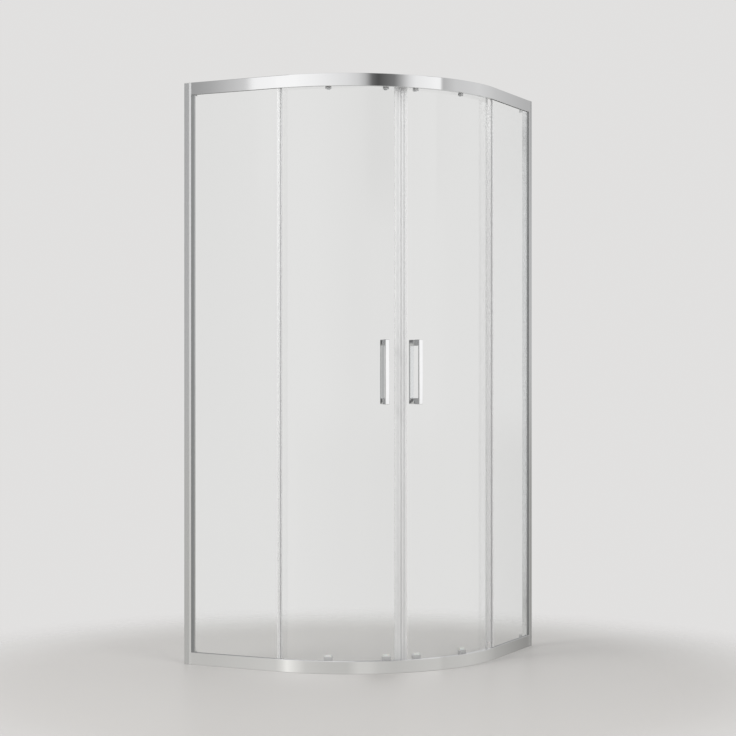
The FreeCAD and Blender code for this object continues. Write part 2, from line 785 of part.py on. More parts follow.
def make_handle(side, place):
    """Square-ended pull: a flat upright bar on two posts, drilled for its studs."""
    facing = "" if place == "outer" else "-"
    face = DOOR_OUT if place == "outer" else DOOR_IN
    where = at_point(face, "0", "handle_height", on_side(side, "handle_angle"))
    piece = body("%s_%s_handle" % (side, place), where)
    foot = "%s(washer_thickness + 2 * seat_gap)" % facing
    inner = "%s(handle_reach - handle_bar)" % facing
    outer = "%shandle_reach" % facing
    half = "handle_length / 2"
    points = [
        (foot, "-" + half),
        (outer, "-" + half),
        (outer, half),
        (foot, half),
        (foot, half + " - handle_post"),
        (inner, half + " - handle_post"),
        (inner, "handle_post - " + half),
        (foot, "handle_post - " + half),
    ]
    feature = pad(piece, outline(piece, "XZ_Plane", points), "handle_width")
    feature.Midplane = True
    rounded_long_edges(piece, "handle_round")
    rings = [("0", "handle_post / 2 - " + half, "stud_radius + running_gap"),
             ("0", half + " - handle_post / 2", "stud_radius + running_gap")]
    depth = "washer_thickness + stud_depth + running_gap"
    pocket(piece, circles(piece, "YZ_Plane", *rings), depth, place == "outer")
    return piece


def make_handle_fixings(side):
    """Studs through the door pane, and the soft washers under the four posts."""
    members = []
    for z in POST_HEIGHTS:
        start = DOOR_IN + " - stud_depth"
        where = at_point(start, "0", z, on_side(side, "handle_angle"))
        stud = box_loop("0", "0", "glass_thickness + 2 * stud_depth", "stud_radius")
        members.append(lathe("handle_stud", where, stud))
        for start in (DOOR_OUT + " + seat_gap", DOOR_IN + " - seat_gap - washer_thickness"):
            where = at_point(start, "0", z, on_side(side, "handle_angle"))
            ring = box_loop("0", "stud_radius + 2 * running_gap", "washer_thickness", "washer_radius")
            members.append(lathe("handle_washer", where, ring))
    return group(side + "_handle_fixings", members)


# ---------------------------------------------------------------- top carriages
WHEEL_START = "(wheel_offset - seat_gap)"


def make_bracket(side, place):
    """Carriage plate with its bolt boss and the two shouldered axles of its wheels."""
    where = at_point(SEAT, "0", TOP_BOLT, on_side(side, ROLLER_ANGLES[place]))
    piece = body("%s_%s_carriage" % (side, place), where)
    foot = "bracket_foot / 2"
    wide = "bracket_width / 2"
    top = AXLE_RISE + " + bracket_foot / 4"
    right = [
        (foot, "-bracket_foot / 4"),
        (foot, "bracket_foot / 4"),
        (wide, "bracket_foot / 2"),
        (wide, top + " - bracket_thickness"),
        (wide + " - bracket_thickness", top),
    ]
    left = [("-(%s)" % across, up) for across, up in reversed(right)]
    pad(piece, outline(piece, "YZ_Plane", right + left), "bracket_thickness")
    pad(piece, circles(piece, "YZ_Plane", ("0", "0", "bolt_radius + bracket_thickness")),
        "bracket_thickness + boss_radius")
    axles = ["wheel_spacing / 2", "-wheel_spacing / 2"]
    shoulder = [(across, AXLE_RISE, "axle_radius + shoulder") for across in axles]
    pad(piece, circles(piece, "YZ_Plane", *shoulder), WHEEL_START + " - wheel_side_gap")
    axle = [(across, AXLE_RISE, "axle_radius") for across in axles]
    pad(piece, circles(piece, "YZ_Plane", *axle), WHEEL_START + " + wheel_width - wheel_side_gap")
    recess = "%s + wheel_width - wheel_side_gap - rivet_head" % WHEEL_START
    pad(piece, circles(piece, "YZ_Plane", *shoulder, offset=recess), "rivet_head")
    pocket(piece, circles(piece, "YZ_Plane", ("0", "0", "bolt_radius + running_gap")),
           "bracket_thickness + boss_radius + 1", True)
    return piece


def wheel_section(width, radius, bore):
    """Half section of a wheel: chamfered tread, thin web, and a recess for the axle's head."""
    rim = "%s - tread_depth" % radius
    corner = "%s - tread_chamfer" % radius
    recess = "%s + shoulder + 4 * running_gap" % bore
    return [
        ("0", "%s + running_gap" % bore),
        ("0", rim),
        ("tread_groove", rim),
        ("tread_groove / 2", corner),
        ("tread_groove", radius),
        ("%s - tread_groove" % width, radius),
        ("%s - tread_groove / 2" % width, corner),
        ("%s - tread_groove" % width, rim),
        (width, rim + " - tread_chamfer"),
        (width, recess),
        ("%s - hub_recess" % width, recess),
        ("%s - hub_recess" % width, "%s + running_gap" % bore),
    ]


def make_top_wheel(side, place, number):
    across = "wheel_spacing / 2" if number == 1 else "-wheel_spacing / 2"
    angle = on_side(side, ROLLER_ANGLES[place])
    where = at_point(WHEEL_IN, across, "(%s + %s)" % (TOP_BOLT, AXLE_RISE), angle)
    section = wheel_section("wheel_width", "wheel_radius", "axle_radius")
    return lathe("%s_%s_wheel_%d" % (side, place, number), where, section)


# ---------------------------------------------------------------- bottom rollers
def make_housing(side, place):
    """Plastic case, open towards the pane, that guides the sprung slider of the bottom wheel."""
    where = at_point(SEAT, "0", "bottom_bolt_height", on_side(side, ROLLER_ANGLES[place]))
    piece = body("%s_%s_release_case" % (side, place), where)
    half = "housing_width / 2"
    shell = [
        (half, "-housing_fall"),
        (half, "housing_rise - housing_wall"),
        (half + " - housing_wall", "housing_rise"),
        ("housing_wall - " + half, "housing_rise"),
        ("-" + half, "housing_rise - housing_wall"),
        ("-" + half, "-housing_fall"),
    ]
    pad(piece, outline(piece, "YZ_Plane", shell), "housing_depth")
    hollow = box_loop("housing_wall - " + half, "housing_wall - housing_fall",
                      half + " - housing_wall", "housing_rise - housing_wall")
    pocket(piece, outline(piece, "YZ_Plane", hollow), "housing_depth - housing_wall", True)
    clear = "2 * blade_gap"
    pad(piece, circles(piece, "YZ_Plane", ("0", "0", "boss_radius"), offset=clear + " + blade_thickness"),
        "housing_depth - %s - blade_thickness" % clear)
    mouth = box_loop("-" + clear, "-button_width / 2 - slide_gap", clear + " + button_depth + slide_gap",
                     "button_width / 2 + slide_gap")
    pocket(piece, outline(piece, "XY_Plane", mouth), "2 * housing_rise", True)
    throat = box_loop("-" + clear, "-blade_width / 2 - slide_gap", clear + " + blade_thickness - slide_gap",
                      "blade_width / 2 + slide_gap")
    pocket(piece, outline(piece, "XY_Plane", throat), "2 * housing_fall")
    pocket(piece, circles(piece, "YZ_Plane", ("0", "0", "bolt_radius + running_gap")),
           "housing_depth - housing_wall", True)
    return piece


BUTTON_FOOT = "(boss_radius + release_travel + guide_gap)"


def make_slider(side, place):
    """Sprung blade with its push button above and the bottom wheel's pin below."""
    where = at_point(SEAT, "0", "bottom_bolt_height", on_side(side, ROLLER_ANGLES[place]))
    piece = body("%s_%s_release_slider" % (side, place), where)
    half = "blade_width / 2"
    foot = "-%s - pin_radius - rivet_head" % GUIDE_DROP
    blade = [
        ("-" + half, "blade_chamfer - %s" % GUIDE_DROP),
        ("blade_chamfer - " + half, foot),
        (half + " - blade_chamfer", foot),
        (half, "blade_chamfer - %s" % GUIDE_DROP),
        (half, BUTTON_FOOT),
        ("-" + half, BUTTON_FOOT),
    ]
    slot = box_loop("-bolt_radius - guide_gap", "-bolt_radius - guide_gap",
                    "bolt_radius + guide_gap", "bolt_radius + guide_gap + release_travel")
    pad(piece, outline(piece, "YZ_Plane", blade, slot, offset="blade_gap"), "blade_thickness")
    button = box_loop("blade_gap", "-button_width / 2", "blade_gap + button_depth", "button_width / 2")
    pad(piece, outline(piece, "XY_Plane", button, offset=BUTTON_FOOT),
        "housing_rise + release_travel + blade_gap - %s" % BUTTON_FOOT)
    start = "(guide_offset - seat_gap)"
    drop = "-" + GUIDE_DROP
    pad(piece, circles(piece, "YZ_Plane", ("0", drop, "pin_radius + rivet_head"), offset="blade_gap"),
        start + " - wheel_side_gap - blade_gap")
    pad(piece, circles(piece, "YZ_Plane", ("0", drop, "pin_radius"), offset="blade_gap"),
        start + " + guide_width - wheel_side_gap - blade_gap")
    pad(piece, circles(piece, "YZ_Plane", ("0", drop, "pin_radius + shoulder"),
                       offset=start + " + guide_width - wheel_side_gap - rivet_head"), "rivet_head")
    return piece


def make_guide_wheel(side, place):
    angle = on_side(side, ROLLER_ANGLES[place])
    where = at_point(GUIDE_IN, "0", "(bottom_bolt_height - %s)" % GUIDE_DROP, angle)
    return lathe("%s_%s_guide_wheel" % (side, place), where, wheel_section("guide_width", "guide_radius", "pin_radius"))


def make_spring(side, place):
    """Return spring of the release, between the case's floor and the button."""
    angle = on_side(side, ROLLER_ANGLES[place])
    across = "button_width / 2 - spring_radius - blade_gap"
    floor = "bottom_bolt_height - housing_fall + housing_wall"
    where = at_point(SEAT + " + 2 * blade_gap + button_depth / 2", across, floor, angle)
    piece = body("%s_%s_release_spring" % (side, place), where)
    rings = (("0", "0", "spring_radius"), ("0", "0", "spring_radius - spring_wall"))
    pad(piece, circles(piece, "XY_Plane", *rings), "%s + housing_fall - housing_wall" % BUTTON_FOOT)
    return piece


def make_roller_bolts(side):
    """Domed bolts from the room side, through the pane, into the carriages and cases."""
    members = []
    length = "glass_thickness + 2 * seat_gap + bracket_thickness + boss_radius"
    section = screw_section("bolt_head_radius", "bolt_head_height", "bolt_radius", length)
    for angle in ROLLER_ANGLES.values():
        for z in (TOP_BOLT, "bottom_bolt_height"):
            where = at_point(DOOR_IN + " - seat_gap", "0", z, on_side(side, angle))
            members.append(lathe("roller_bolt", where, section))
    return group(side + "_roller_bolts", members)


def make_door_stops():
    """Rubber blocks in both rails that end the doors' travel."""
    members = []
    past = "(travel_angle - rear_roller_angle)"
    top_edge = "((%s + wheel_width) * sin(%s) + wheel_spacing / 2 + wheel_radius + stop_gap)" % (WHEEL_IN, past)
    low_edge = "((%s + guide_width) * sin(%s) + guide_radius + stop_gap)" % (GUIDE_IN, past)
    inner = LIP_OUT + " + stop_gap"
    outer = WEB_IN + " - seal_fit"
    for side in SIDES:
        for edge, z, tall in (
            (top_edge, "%s + track_lift + seal_fit" % TOP_EDGE, "wheel_radius + 2"),
            (low_edge, "2 * rail_wall + 2 * port_radius", "2 * guide_radius"),
        ):
            piece = body("door_stop", at_bend(z))
            loop = box_loop("%s - %s - stop_length" % (STRAIGHT, edge), inner, "%s - %s" % (STRAIGHT, edge), outer)
            pad(piece, outline(piece, "XY_Plane", [plan(side, *point) for point in loop]), tall)
            members.append(piece)
    return group("door_stops", members)


# ---------------------------------------------------------------- assembly
nodes = [
    make_top_rail(),
    make_bottom_rail(),
    make_filler("top_rail_filler", TOP_EDGE, "0", "+"),
    make_filler("bottom_rail_filler", "0", "rail_height", "-"),
    make_end_caps(),
    make_profile_screws(),
    make_rail_screws(),
    make_glazing_gaskets(),
    make_door_stops(),
]
for side in SIDES:
    nodes.append(make_wall_channel(side))
    nodes.append(make_side_profile(side))
    nodes.append(make_fixed_glass(side))
    nodes.append(make_fixed_edge_seal(side))
    nodes.append(make_door_glass(side))
    nodes.append(make_magnetic_seal(side))
    nodes.append(make_rear_seal(side))
    nodes.append(make_handle(side, "outer"))
    nodes.append(make_handle(side, "inner"))
    nodes.append(make_handle_fixings(side))
    nodes.append(make_roller_bolts(side))
    for place in ROLLER_ANGLES:
        nodes.append(make_bracket(side, place))
        nodes.append(make_top_wheel(side, place, 1))
        nodes.append(make_top_wheel(side, place, 2))
        nodes.append(make_housing(side, place))
        nodes.append(make_slider(side, place))
        nodes.append(make_guide_wheel(side, place))
        nodes.append(make_spring(side, place))

doc.recompute()

faults = [item.Label for item in doc.Objects if {"Invalid", "Error"} & set(item.State)]
for node in nodes:
    if node.Shape.isNull() or not node.Shape.isValid() or not node.Shape.Solids:
        faults.append(node.Label)
if faults:
    raise RuntimeError("these did not build: %s" % ", ".join(faults))

for node in nodes:
    node.Shape.exportStep("parts/%s.step" % node.Label)
print("%d nodes, %d solids" % (len(nodes), sum(len(node.Shape.Solids) for node in nodes)))
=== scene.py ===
# %% [markdown]
# # A quadrant shower enclosure
# Two flat glass panes stand against the walls, and two curved doors slide between them on small
# wheels. Bent aluminium rails hold it all together. The notebook first sets up the camera, then the
# finishes, and then each piece, in the order in which a fitter would carry it in.
#
# The imported frame brings every part at its true size. It is loaded once.

import math

import bmesh
import bpy
from mathutils import Matrix, Vector


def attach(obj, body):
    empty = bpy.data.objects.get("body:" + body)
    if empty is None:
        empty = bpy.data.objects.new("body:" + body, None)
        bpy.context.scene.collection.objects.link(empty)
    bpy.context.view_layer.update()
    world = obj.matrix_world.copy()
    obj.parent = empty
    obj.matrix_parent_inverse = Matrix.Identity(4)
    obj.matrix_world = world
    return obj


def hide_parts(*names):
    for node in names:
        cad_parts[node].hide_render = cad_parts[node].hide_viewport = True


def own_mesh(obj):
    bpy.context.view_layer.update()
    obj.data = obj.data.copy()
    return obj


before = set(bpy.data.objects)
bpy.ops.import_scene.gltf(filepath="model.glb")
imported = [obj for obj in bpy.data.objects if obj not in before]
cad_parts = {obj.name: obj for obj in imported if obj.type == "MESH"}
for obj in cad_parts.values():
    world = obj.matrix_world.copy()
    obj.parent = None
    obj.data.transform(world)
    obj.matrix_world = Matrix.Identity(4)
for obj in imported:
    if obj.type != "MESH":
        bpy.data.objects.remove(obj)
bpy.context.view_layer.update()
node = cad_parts
scene = bpy.context.scene

# %% [markdown]
# ## The camera
# A long lens from far away keeps uprights parallel. The camera stands at half the enclosure's
# height and looks level, so the two rails bow towards each other evenly. A small shift, and no
# tilt, sets the picture's height.

# %% Camera
FOCAL_PIXELS = 1815
PICTURE = 736
SENSOR = 36  # millimetres
view_camera = bpy.data.cameras.new("view")
view_camera.sensor_width = SENSOR
view_camera.lens = SENSOR * FOCAL_PIXELS / PICTURE
view_camera.shift_y = 0.0074
view_camera.clip_end = 60
camera = bpy.data.objects.new("view", view_camera)
camera.location = (2.780, -5.654, 0.975)
camera.rotation_euler = (math.radians(90), 0, 0.4546)
scene.collection.objects.link(camera)
scene.camera = camera
scene.view_settings.view_transform = "Standard"
print("lens", round(view_camera.lens, 1), "mm")

# %% [markdown]
# ## Studio light
# Polished metal has no colour of its own: it shows what stands round it. So the sky of this scene
# is three rings of pale panels with dark gaps, one level with the eye, one above and one below it,
# which only mirrored rays see. A colour ramp is too coarse for a window's sharp edge, so the upper
# ring is dimmed on one side of such an edge. A fourth ring is for what chrome mirrors through the
# glass. Everything else gets one even, soft light, and the camera sees a plain pale backdrop, also
# through the glass.

# %% Rings of panels
BACKDROP = (0.755, 0.748, 0.742, 1)
SOFT_LIGHT = (0.66, 0.66, 0.662, 1)
# Each stop is a compass angle in degrees from +X, and how bright the studio is there.
UPPER_RING = [
    (-180, 0.70), (-126, 0.40), (-122.1, 0.37), (-120.7, 0.64), (-119.3, 1.00), (-104, 1.00),
    (-88, 0.92), (-66, 0.77), (-58, 0.66), (-53, 0.48), (-48.5, 0.15), (-44, 0.08), (-32, 0.20),
    (-27, 0.41), (-21, 0.72), (-16, 0.86), (1, 0.96), (4.3, 0.94), (6.2, 0.48), (18, 0.62),
    (44, 0.68), (62, 0.61), (68.5, 0.58), (69.1, 0.42), (80, 0.50), (130, 0.60), (180, 0.50),
]
LEVEL_RING = [
    (-180, 0.30), (-130, 0.40), (-121, 0.44), (-117, 1.00), (-90, 1.00), (-60, 0.80), (-46, 1.00),
    (0, 1.00), (20, 0.70), (60, 0.62), (100, 0.60), (128, 0.40), (140, 0.08), (172, 0.08),
    (180, 0.30),
]
LOWER_RING = [
    (-180, 0.50), (-120, 0.54), (-119.2, 0.61), (-114.5, 0.72), (-110, 0.90), (-104, 0.76),
    (-96, 0.60), (-80, 0.55), (-66, 0.54), (-58, 0.64), (-50, 0.63), (-43, 0.56), (-32, 0.53),
    (-8, 0.58), (3, 0.59), (7, 0.54), (33, 0.57), (52, 0.51), (62, 0.46), (68.2, 0.42),
    (68.9, 0.29), (76, 0.46), (180, 0.50),
]
INSIDE_RING = [
    (-180, 0.33), (-150, 0.40), (-132, 0.95), (-90, 0.95), (-52, 0.50), (-31, 0.45), (-18, 0.82),
    (60, 0.90), (80, 0.90), (110, 0.60), (128, 0.28), (180, 0.28),
]
WINDOW_EDGE = (-119.7, -119.3)  # where the upper ring turns bright
BEFORE_WINDOW = 0.70  # how much of its brightness the upper ring has before that
WARM_TINT = (1, 0.99, 0.955)  # what the pale floor gives to all that mirrors it
UPPER_SLOPES = (0.07, 0.12)  # as a ray gets this steep, the level ring gives way to the upper one
LOWER_SLOPES = (-0.05, -0.01)  # and here the lower ring gives way to the level one


def link(tree, source, target):
    tree.links.new(source, target)


def passing(tree, value, low, high, kind="SMOOTHSTEP", start=0.0):
    """Runs from start to 1 as a value passes from low to high."""
    share = tree.nodes.new("ShaderNodeMapRange")
    share.interpolation_type = kind
    share.inputs["From Min"].default_value = low
    share.inputs["From Max"].default_value = high
    share.inputs["To Min"].default_value = start
    link(tree, value, share.inputs["Value"])
    return share.outputs["Result"]


def ring_ramp(tree, place, stops, tint=(1, 1, 1)):
    """Colour ramp that holds one ring of panels, read at a place from 0 to 1 round the compass."""
    ring = tree.nodes.new("ShaderNodeValToRGB")
    marks = ring.color_ramp.elements
    for index, (angle, level) in enumerate(stops):
        position = (angle + 180) / 360
        if index == 0:
            mark = marks[0]
        elif index == len(stops) - 1:
            mark = marks[-1]
        else:
            mark = marks.new(position)
        mark.position = position
        mark.color = (*(level * share for share in tint), 1)
    link(tree, place, ring.inputs["Fac"])
    return ring.outputs["Color"]


def choice(tree, factor, first, second):
    """Colour that goes from the first to the second as the factor goes from 0 to 1."""
    mix = tree.nodes.new("ShaderNodeMix")
    mix.data_type = "RGBA"
    link(tree, factor, mix.inputs["Factor"])
    for label, colour in (("A", first), ("B", second)):
        if isinstance(colour, tuple):
            mix.inputs[label].default_value = colour
        else:
            link(tree, colour, mix.inputs[label])
    return mix.outputs["Result"]


# %% World and lamps
LAMP_SIZE = 2.5
LAMPS_AIM = Vector((0, 0, 0.9))


def mirrored_rings(tree):
    """What polished metal shows: the rings by a ray's slope, and what it mirrors through glass."""
    direction = tree.nodes.new("ShaderNodeTexCoord")
    split = tree.nodes.new("ShaderNodeSeparateXYZ")
    compass = tree.nodes.new("ShaderNodeMath")
    compass.operation = "ARCTAN2"
    link(tree, direction.outputs["Generated"], split.inputs[0])
    link(tree, split.outputs["Y"], compass.inputs[0])
    link(tree, split.outputs["X"], compass.inputs[1])
    place = passing(tree, compass.outputs[0], -math.pi, math.pi, kind="LINEAR")
    edge = (math.radians(angle) for angle in WINDOW_EDGE)
    upper = tree.nodes.new("ShaderNodeVectorMath")
    upper.operation = "SCALE"
    link(tree, ring_ramp(tree, place, UPPER_RING), upper.inputs[0])
    dimming = passing(tree, compass.outputs[0], *edge, start=BEFORE_WINDOW)
    link(tree, dimming, upper.inputs["Scale"])
    steep = passing(tree, split.outputs["Z"], *UPPER_SLOPES)
    level = choice(tree, steep, ring_ramp(tree, place, LEVEL_RING), upper.outputs["Vector"])
    shallow = passing(tree, split.outputs["Z"], *LOWER_SLOPES)
    rings = choice(tree, shallow, ring_ramp(tree, place, LOWER_RING, WARM_TINT), level)
    return rings, ring_ramp(tree, place, INSIDE_RING)


def make_studio():
    world = bpy.data.worlds.new("studio")
    world.use_nodes = True
    scene.world = world
    tree = world.node_tree
    tree.nodes.clear()
    rings, inside = mirrored_rings(tree)
    path = tree.nodes.new("ShaderNodeLightPath")
    mirrored_before = tree.nodes.new("ShaderNodeMath")  # 1 once a ray has been mirrored at all
    mirrored_before.operation = "GREATER_THAN"
    mirrored_before.inputs[1].default_value = 0.5
    link(tree, path.outputs["Glossy Depth"], mirrored_before.inputs[0])
    behind_glass = choice(tree, mirrored_before.outputs[0], BACKDROP, inside)
    sky = choice(tree, path.outputs["Is Glossy Ray"], SOFT_LIGHT, rings)
    sky = choice(tree, path.outputs["Is Transmission Ray"], sky, behind_glass)
    sky = choice(tree, path.outputs["Is Camera Ray"], sky, BACKDROP)
    background = tree.nodes.new("ShaderNodeBackground")
    out = tree.nodes.new("ShaderNodeOutputWorld")
    link(tree, sky, background.inputs["Color"])
    link(tree, background.outputs[0], out.inputs["Surface"])


def soft_lamp(name, place, watts):
    """Round lamp that faces the middle of the enclosure and shows in no mirror."""
    lamp = bpy.data.lights.new(name, "AREA")
    lamp.shape = "DISK"
    lamp.size = LAMP_SIZE
    lamp.energy = watts
    holder = bpy.data.objects.new(name, lamp)
    holder.location = place
    aim = LAMPS_AIM - Vector(place)
    holder.rotation_euler = aim.to_track_quat("-Z", "Y").to_euler()
    holder.visible_glossy = False
    holder.visible_transmission = False
    scene.collection.objects.link(holder)


make_studio()
soft_lamp("key", (-2.4, -3.6, 4.2), 120)
soft_lamp("fill", (3.4, -2.2, 3.2), 60)
print("studio:", len(UPPER_RING) + len(LEVEL_RING) + len(LOWER_RING), "panels and gaps")

# %% [markdown]
# ## Small tools
# Each shader is a Principled BSDF with a few nodes in front. The finishes share two effects, which
# are node groups made by one function: drawn lines for extruded metal, and a fine grain for
# castings, mouldings, chrome and glass.


# %% Material helpers
NOISE_SPREAD = (0.3, 0.7)  # nearly all of a noise lies between these
RELIEF_HEIGHT = 0.0002  # metres, at full depth


def group_tree(name, inputs, outputs):
    """Shader group with named sockets."""
    tree = bpy.data.node_groups.new(name, "ShaderNodeTree")
    for label, kind, default in inputs:
        socket = tree.interface.new_socket(label, in_out="INPUT", socket_type=kind)
        socket.default_value = default
    for label, kind in outputs:
        tree.interface.new_socket(label, in_out="OUTPUT", socket_type=kind)
    return tree, tree.nodes.new("NodeGroupInput"), tree.nodes.new("NodeGroupOutput")


def relief_group(name, stretch, detail):
    """Noise as roughness and relief. Stretch sets how long its marks are along each direction."""
    tree, feed, result = group_tree(
        name,
        [
            ("Scale", "NodeSocketFloat", 400.0),
            ("Smoothest", "NodeSocketFloat", 0.1),
            ("Roughest", "NodeSocketFloat", 0.2),
            ("Depth", "NodeSocketFloat", 0.05),
            ("Grain", "NodeSocketVector", stretch),
        ],
        [
            ("Roughness", "NodeSocketFloat"),
            ("Normal", "NodeSocketVector"),
            ("Mask", "NodeSocketFloat"),
        ],
    )
    place = tree.nodes.new("ShaderNodeTexCoord")
    stretched = tree.nodes.new("ShaderNodeVectorMath")
    stretched.operation = "MULTIPLY"
    noise = tree.nodes.new("ShaderNodeTexNoise")
    noise.inputs["Detail"].default_value = detail
    shine = tree.nodes.new("ShaderNodeMapRange")
    shine.inputs["From Min"].default_value = NOISE_SPREAD[0]
    shine.inputs["From Max"].default_value = NOISE_SPREAD[1]
    relief = tree.nodes.new("ShaderNodeBump")
    relief.inputs["Distance"].default_value = RELIEF_HEIGHT
    link(tree, place.outputs["Object"], stretched.inputs[0])
    link(tree, feed.outputs["Grain"], stretched.inputs[1])
    link(tree, stretched.outputs[0], noise.inputs["Vector"])
    link(tree, feed.outputs["Scale"], noise.inputs["Scale"])
    link(tree, noise.outputs["Fac"], shine.inputs["Value"])
    link(tree, feed.outputs["Smoothest"], shine.inputs["To Min"])
    link(tree, feed.outputs["Roughest"], shine.inputs["To Max"])
    link(tree, feed.outputs["Depth"], relief.inputs["Strength"])
    link(tree, noise.outputs["Fac"], relief.inputs["Height"])
    link(tree, shine.outputs["Result"], result.inputs["Roughness"])
    link(tree, relief.outputs["Normal"], result.inputs["Normal"])
    link(tree, noise.outputs["Fac"], result.inputs["Mask"])
    return tree


LINES = relief_group("drawn lines", (0.02, 0.02, 1.0), 3)
GRAIN = relief_group("fine grain", (1.0, 1.0, 1.0), 2)


def tinted(name, effect, colour, other, grain, sockets=None):
    """Material whose colour drifts between two near tones, with a shared effect on its surface."""
    material = bpy.data.materials.new(name)
    material.use_nodes = True
    tree = material.node_tree
    shader = tree.nodes["Principled BSDF"]
    for label, number in (sockets or {}).items():
        shader.inputs[label].default_value = number
    surface = tree.nodes.new("ShaderNodeGroup")
    surface.node_tree = effect
    for label, number in zip(("Scale", "Smoothest", "Roughest", "Depth"), grain):
        surface.inputs[label].default_value = number
    drift = tree.nodes.new("ShaderNodeMix")
    drift.data_type = "RGBA"
    drift.inputs["A"].default_value = (*colour, 1)
    drift.inputs["B"].default_value = (*other, 1)
    link(tree, surface.outputs["Mask"], drift.inputs["Factor"])
    link(tree, drift.outputs["Result"], shader.inputs["Base Color"])
    link(tree, surface.outputs["Roughness"], shader.inputs["Roughness"])
    link(tree, surface.outputs["Normal"], shader.inputs["Normal"])
    return material


# %% [markdown]
# ## Finishes
# The bent rails are drawn aluminium, polished bright, and the uprights and wall channels are the
# same metal with a satin finish. The satin roughness is real, but their darker tone is painted
# shade, for the shadowed wall corner that they would mirror. Handles and bolts are chrome, the
# carriages are plain cast zinc, and what slides or seals is nylon, vinyl or rubber. Each finish is
# one row: its effect, two near tones, and the effect's scale, least roughness, most roughness and
# depth. What is the same all over the surface comes last.

# %% Finishes
METAL = {"Metallic": 1}
ROWS = {
    "polished_aluminium": (
        LINES, (0.93, 0.93, 0.934), (0.90, 0.902, 0.906), (900, 0.01, 0.03, 0.01), METAL,
    ),
    # satin roughness, with a darker tone that is painted shade for the shadowed wall corner
    "satin_aluminium_with_painted_shade": (
        LINES, (0.74, 0.742, 0.745), (0.69, 0.692, 0.695), (900, 0.16, 0.26, 0.04), METAL,
    ),
    "chrome": (GRAIN, (0.93, 0.93, 0.935), (0.90, 0.90, 0.91), (60, 0.03, 0.06, 0.0), METAL),
    "zinc_casting": (
        GRAIN, (0.78, 0.785, 0.79), (0.68, 0.685, 0.69), (1800, 0.32, 0.50, 0.35), METAL,
    ),
    "stainless_screw": (
        GRAIN, (0.74, 0.73, 0.71), (0.64, 0.63, 0.62), (900, 0.18, 0.30, 0.10), METAL,
    ),
    "grey_plastic": (GRAIN, (0.56, 0.56, 0.555), (0.51, 0.51, 0.505), (2200, 0.38, 0.52, 0.25)),
    "white_nylon": (
        GRAIN, (0.80, 0.79, 0.76), (0.74, 0.73, 0.70), (700, 0.28, 0.42, 0.10),
        {"Subsurface Weight": 0.1},
    ),
    "magnet_strip": (GRAIN, (0.78, 0.78, 0.778), (0.75, 0.75, 0.748), (300, 0.45, 0.60, 0.10)),
    "black_rubber": (
        GRAIN, (0.030, 0.030, 0.032), (0.045, 0.045, 0.046), (1500, 0.60, 0.80, 0.30),
    ),
    "grey_gasket": (GRAIN, (0.20, 0.205, 0.205), (0.25, 0.255, 0.255), (1200, 0.50, 0.65, 0.15)),
    "clear_seal": (
        GRAIN, (0.88, 0.88, 0.878), (0.85, 0.85, 0.848), (90, 0.45, 0.60, 0.0),
        {"Alpha": 0.32, "IOR": 1.25},
    ),
    "clear_glass": (
        GRAIN, (0.985, 0.992, 0.990), (0.982, 0.990, 0.988), (5, 0.0, 0.012, 0.0),
        {"Transmission Weight": 1, "IOR": 1.5},
    ),
}
FINISH = {name: tinted(name, *row) for name, row in ROWS.items()}
LET_THROUGH = 0.9


def sheds_light(material):
    """Lamps shine through a clear thing: its alpha falls only for rays that look for shadows."""
    tree = material.node_tree
    shader = tree.nodes["Principled BSDF"]
    alpha = shader.inputs["Alpha"].default_value
    path = tree.nodes.new("ShaderNodeLightPath")
    solid = tree.nodes.new("ShaderNodeMapRange")
    solid.inputs["To Min"].default_value = alpha
    solid.inputs["To Max"].default_value = min(1 - LET_THROUGH, alpha)
    link(tree, path.outputs["Is Shadow Ray"], solid.inputs["Value"])
    link(tree, solid.outputs["Result"], shader.inputs["Alpha"])


sheds_light(FINISH["clear_glass"])
sheds_light(FINISH["clear_seal"])
print("finishes:", ", ".join(FINISH))

# %% [markdown]
# ## Setting out
# All lengths are in millimetres and turned into metres once, by MM. The bend has its own axis, and
# an angle on it runs from 0 at the left tangent point to 90 at the right one. The right half is the
# left half seen in a mirror on the diagonal, so only left pieces are drawn, and a twin is made.

# %% Places on the bend
MM = 0.001
SIDE = 450 * MM
BEND = 550 * MM
CENTRE = (-100, 100)
AXIS = Vector((CENTRE[0] * MM, CENTRE[1] * MM, 0))
SIDES = ("left", "right")
ROLLERS = {"rear": 18.5, "front": 39.3}  # angles of the wheels on the left half
DOOR_REAR, DOOR_FRONT = -0.5, 43.67  # and of the left pane's ends
DIAGONAL = Matrix(((0, -1, 0, 0), (-1, 0, 0, 0), (0, 0, 1, 0), (0, 0, 0, 1)))


def outward(angle):
    turn = math.radians(angle)
    return Vector((math.sin(turn), -math.cos(turn), 0))


def frame_at(angle, radius, z, across=0.0):
    """Local frame on the bend: X points outwards, Y along the bend and Z up."""
    out = outward(angle)
    along = Vector((-out.y, out.x, 0))
    turn = Matrix((out, along, (0, 0, 1))).transposed().to_4x4()
    place = AXIS + out * radius * MM + along * across * MM + Vector((0, 0, z * MM))
    return Matrix.Translation(place) @ turn


def sided(side, angle):
    return angle if side == "left" else 90 - angle


# %% Mesh helpers
SAME_POINT = 1e-7  # metres: corners nearer than this are one corner


def to_mesh(name, shape):
    bmesh.ops.recalc_face_normals(shape, faces=shape.faces)
    mesh = bpy.data.meshes.new(name)
    shape.to_mesh(mesh)
    shape.free()
    return mesh


def show(name, mesh, body, finish, *replaced, smooth=12):
    """Put a finished mesh in the scene, on its body, in place of the frame's own parts."""
    if not mesh.materials:
        mesh.materials.append(FINISH[finish])
    mesh.shade_smooth()
    mesh.set_sharp_from_angle(angle=math.radians(smooth))
    item = bpy.data.objects.new(name, mesh)
    scene.collection.objects.link(item)
    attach(item, body)
    if replaced:
        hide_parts(*replaced)
    return item


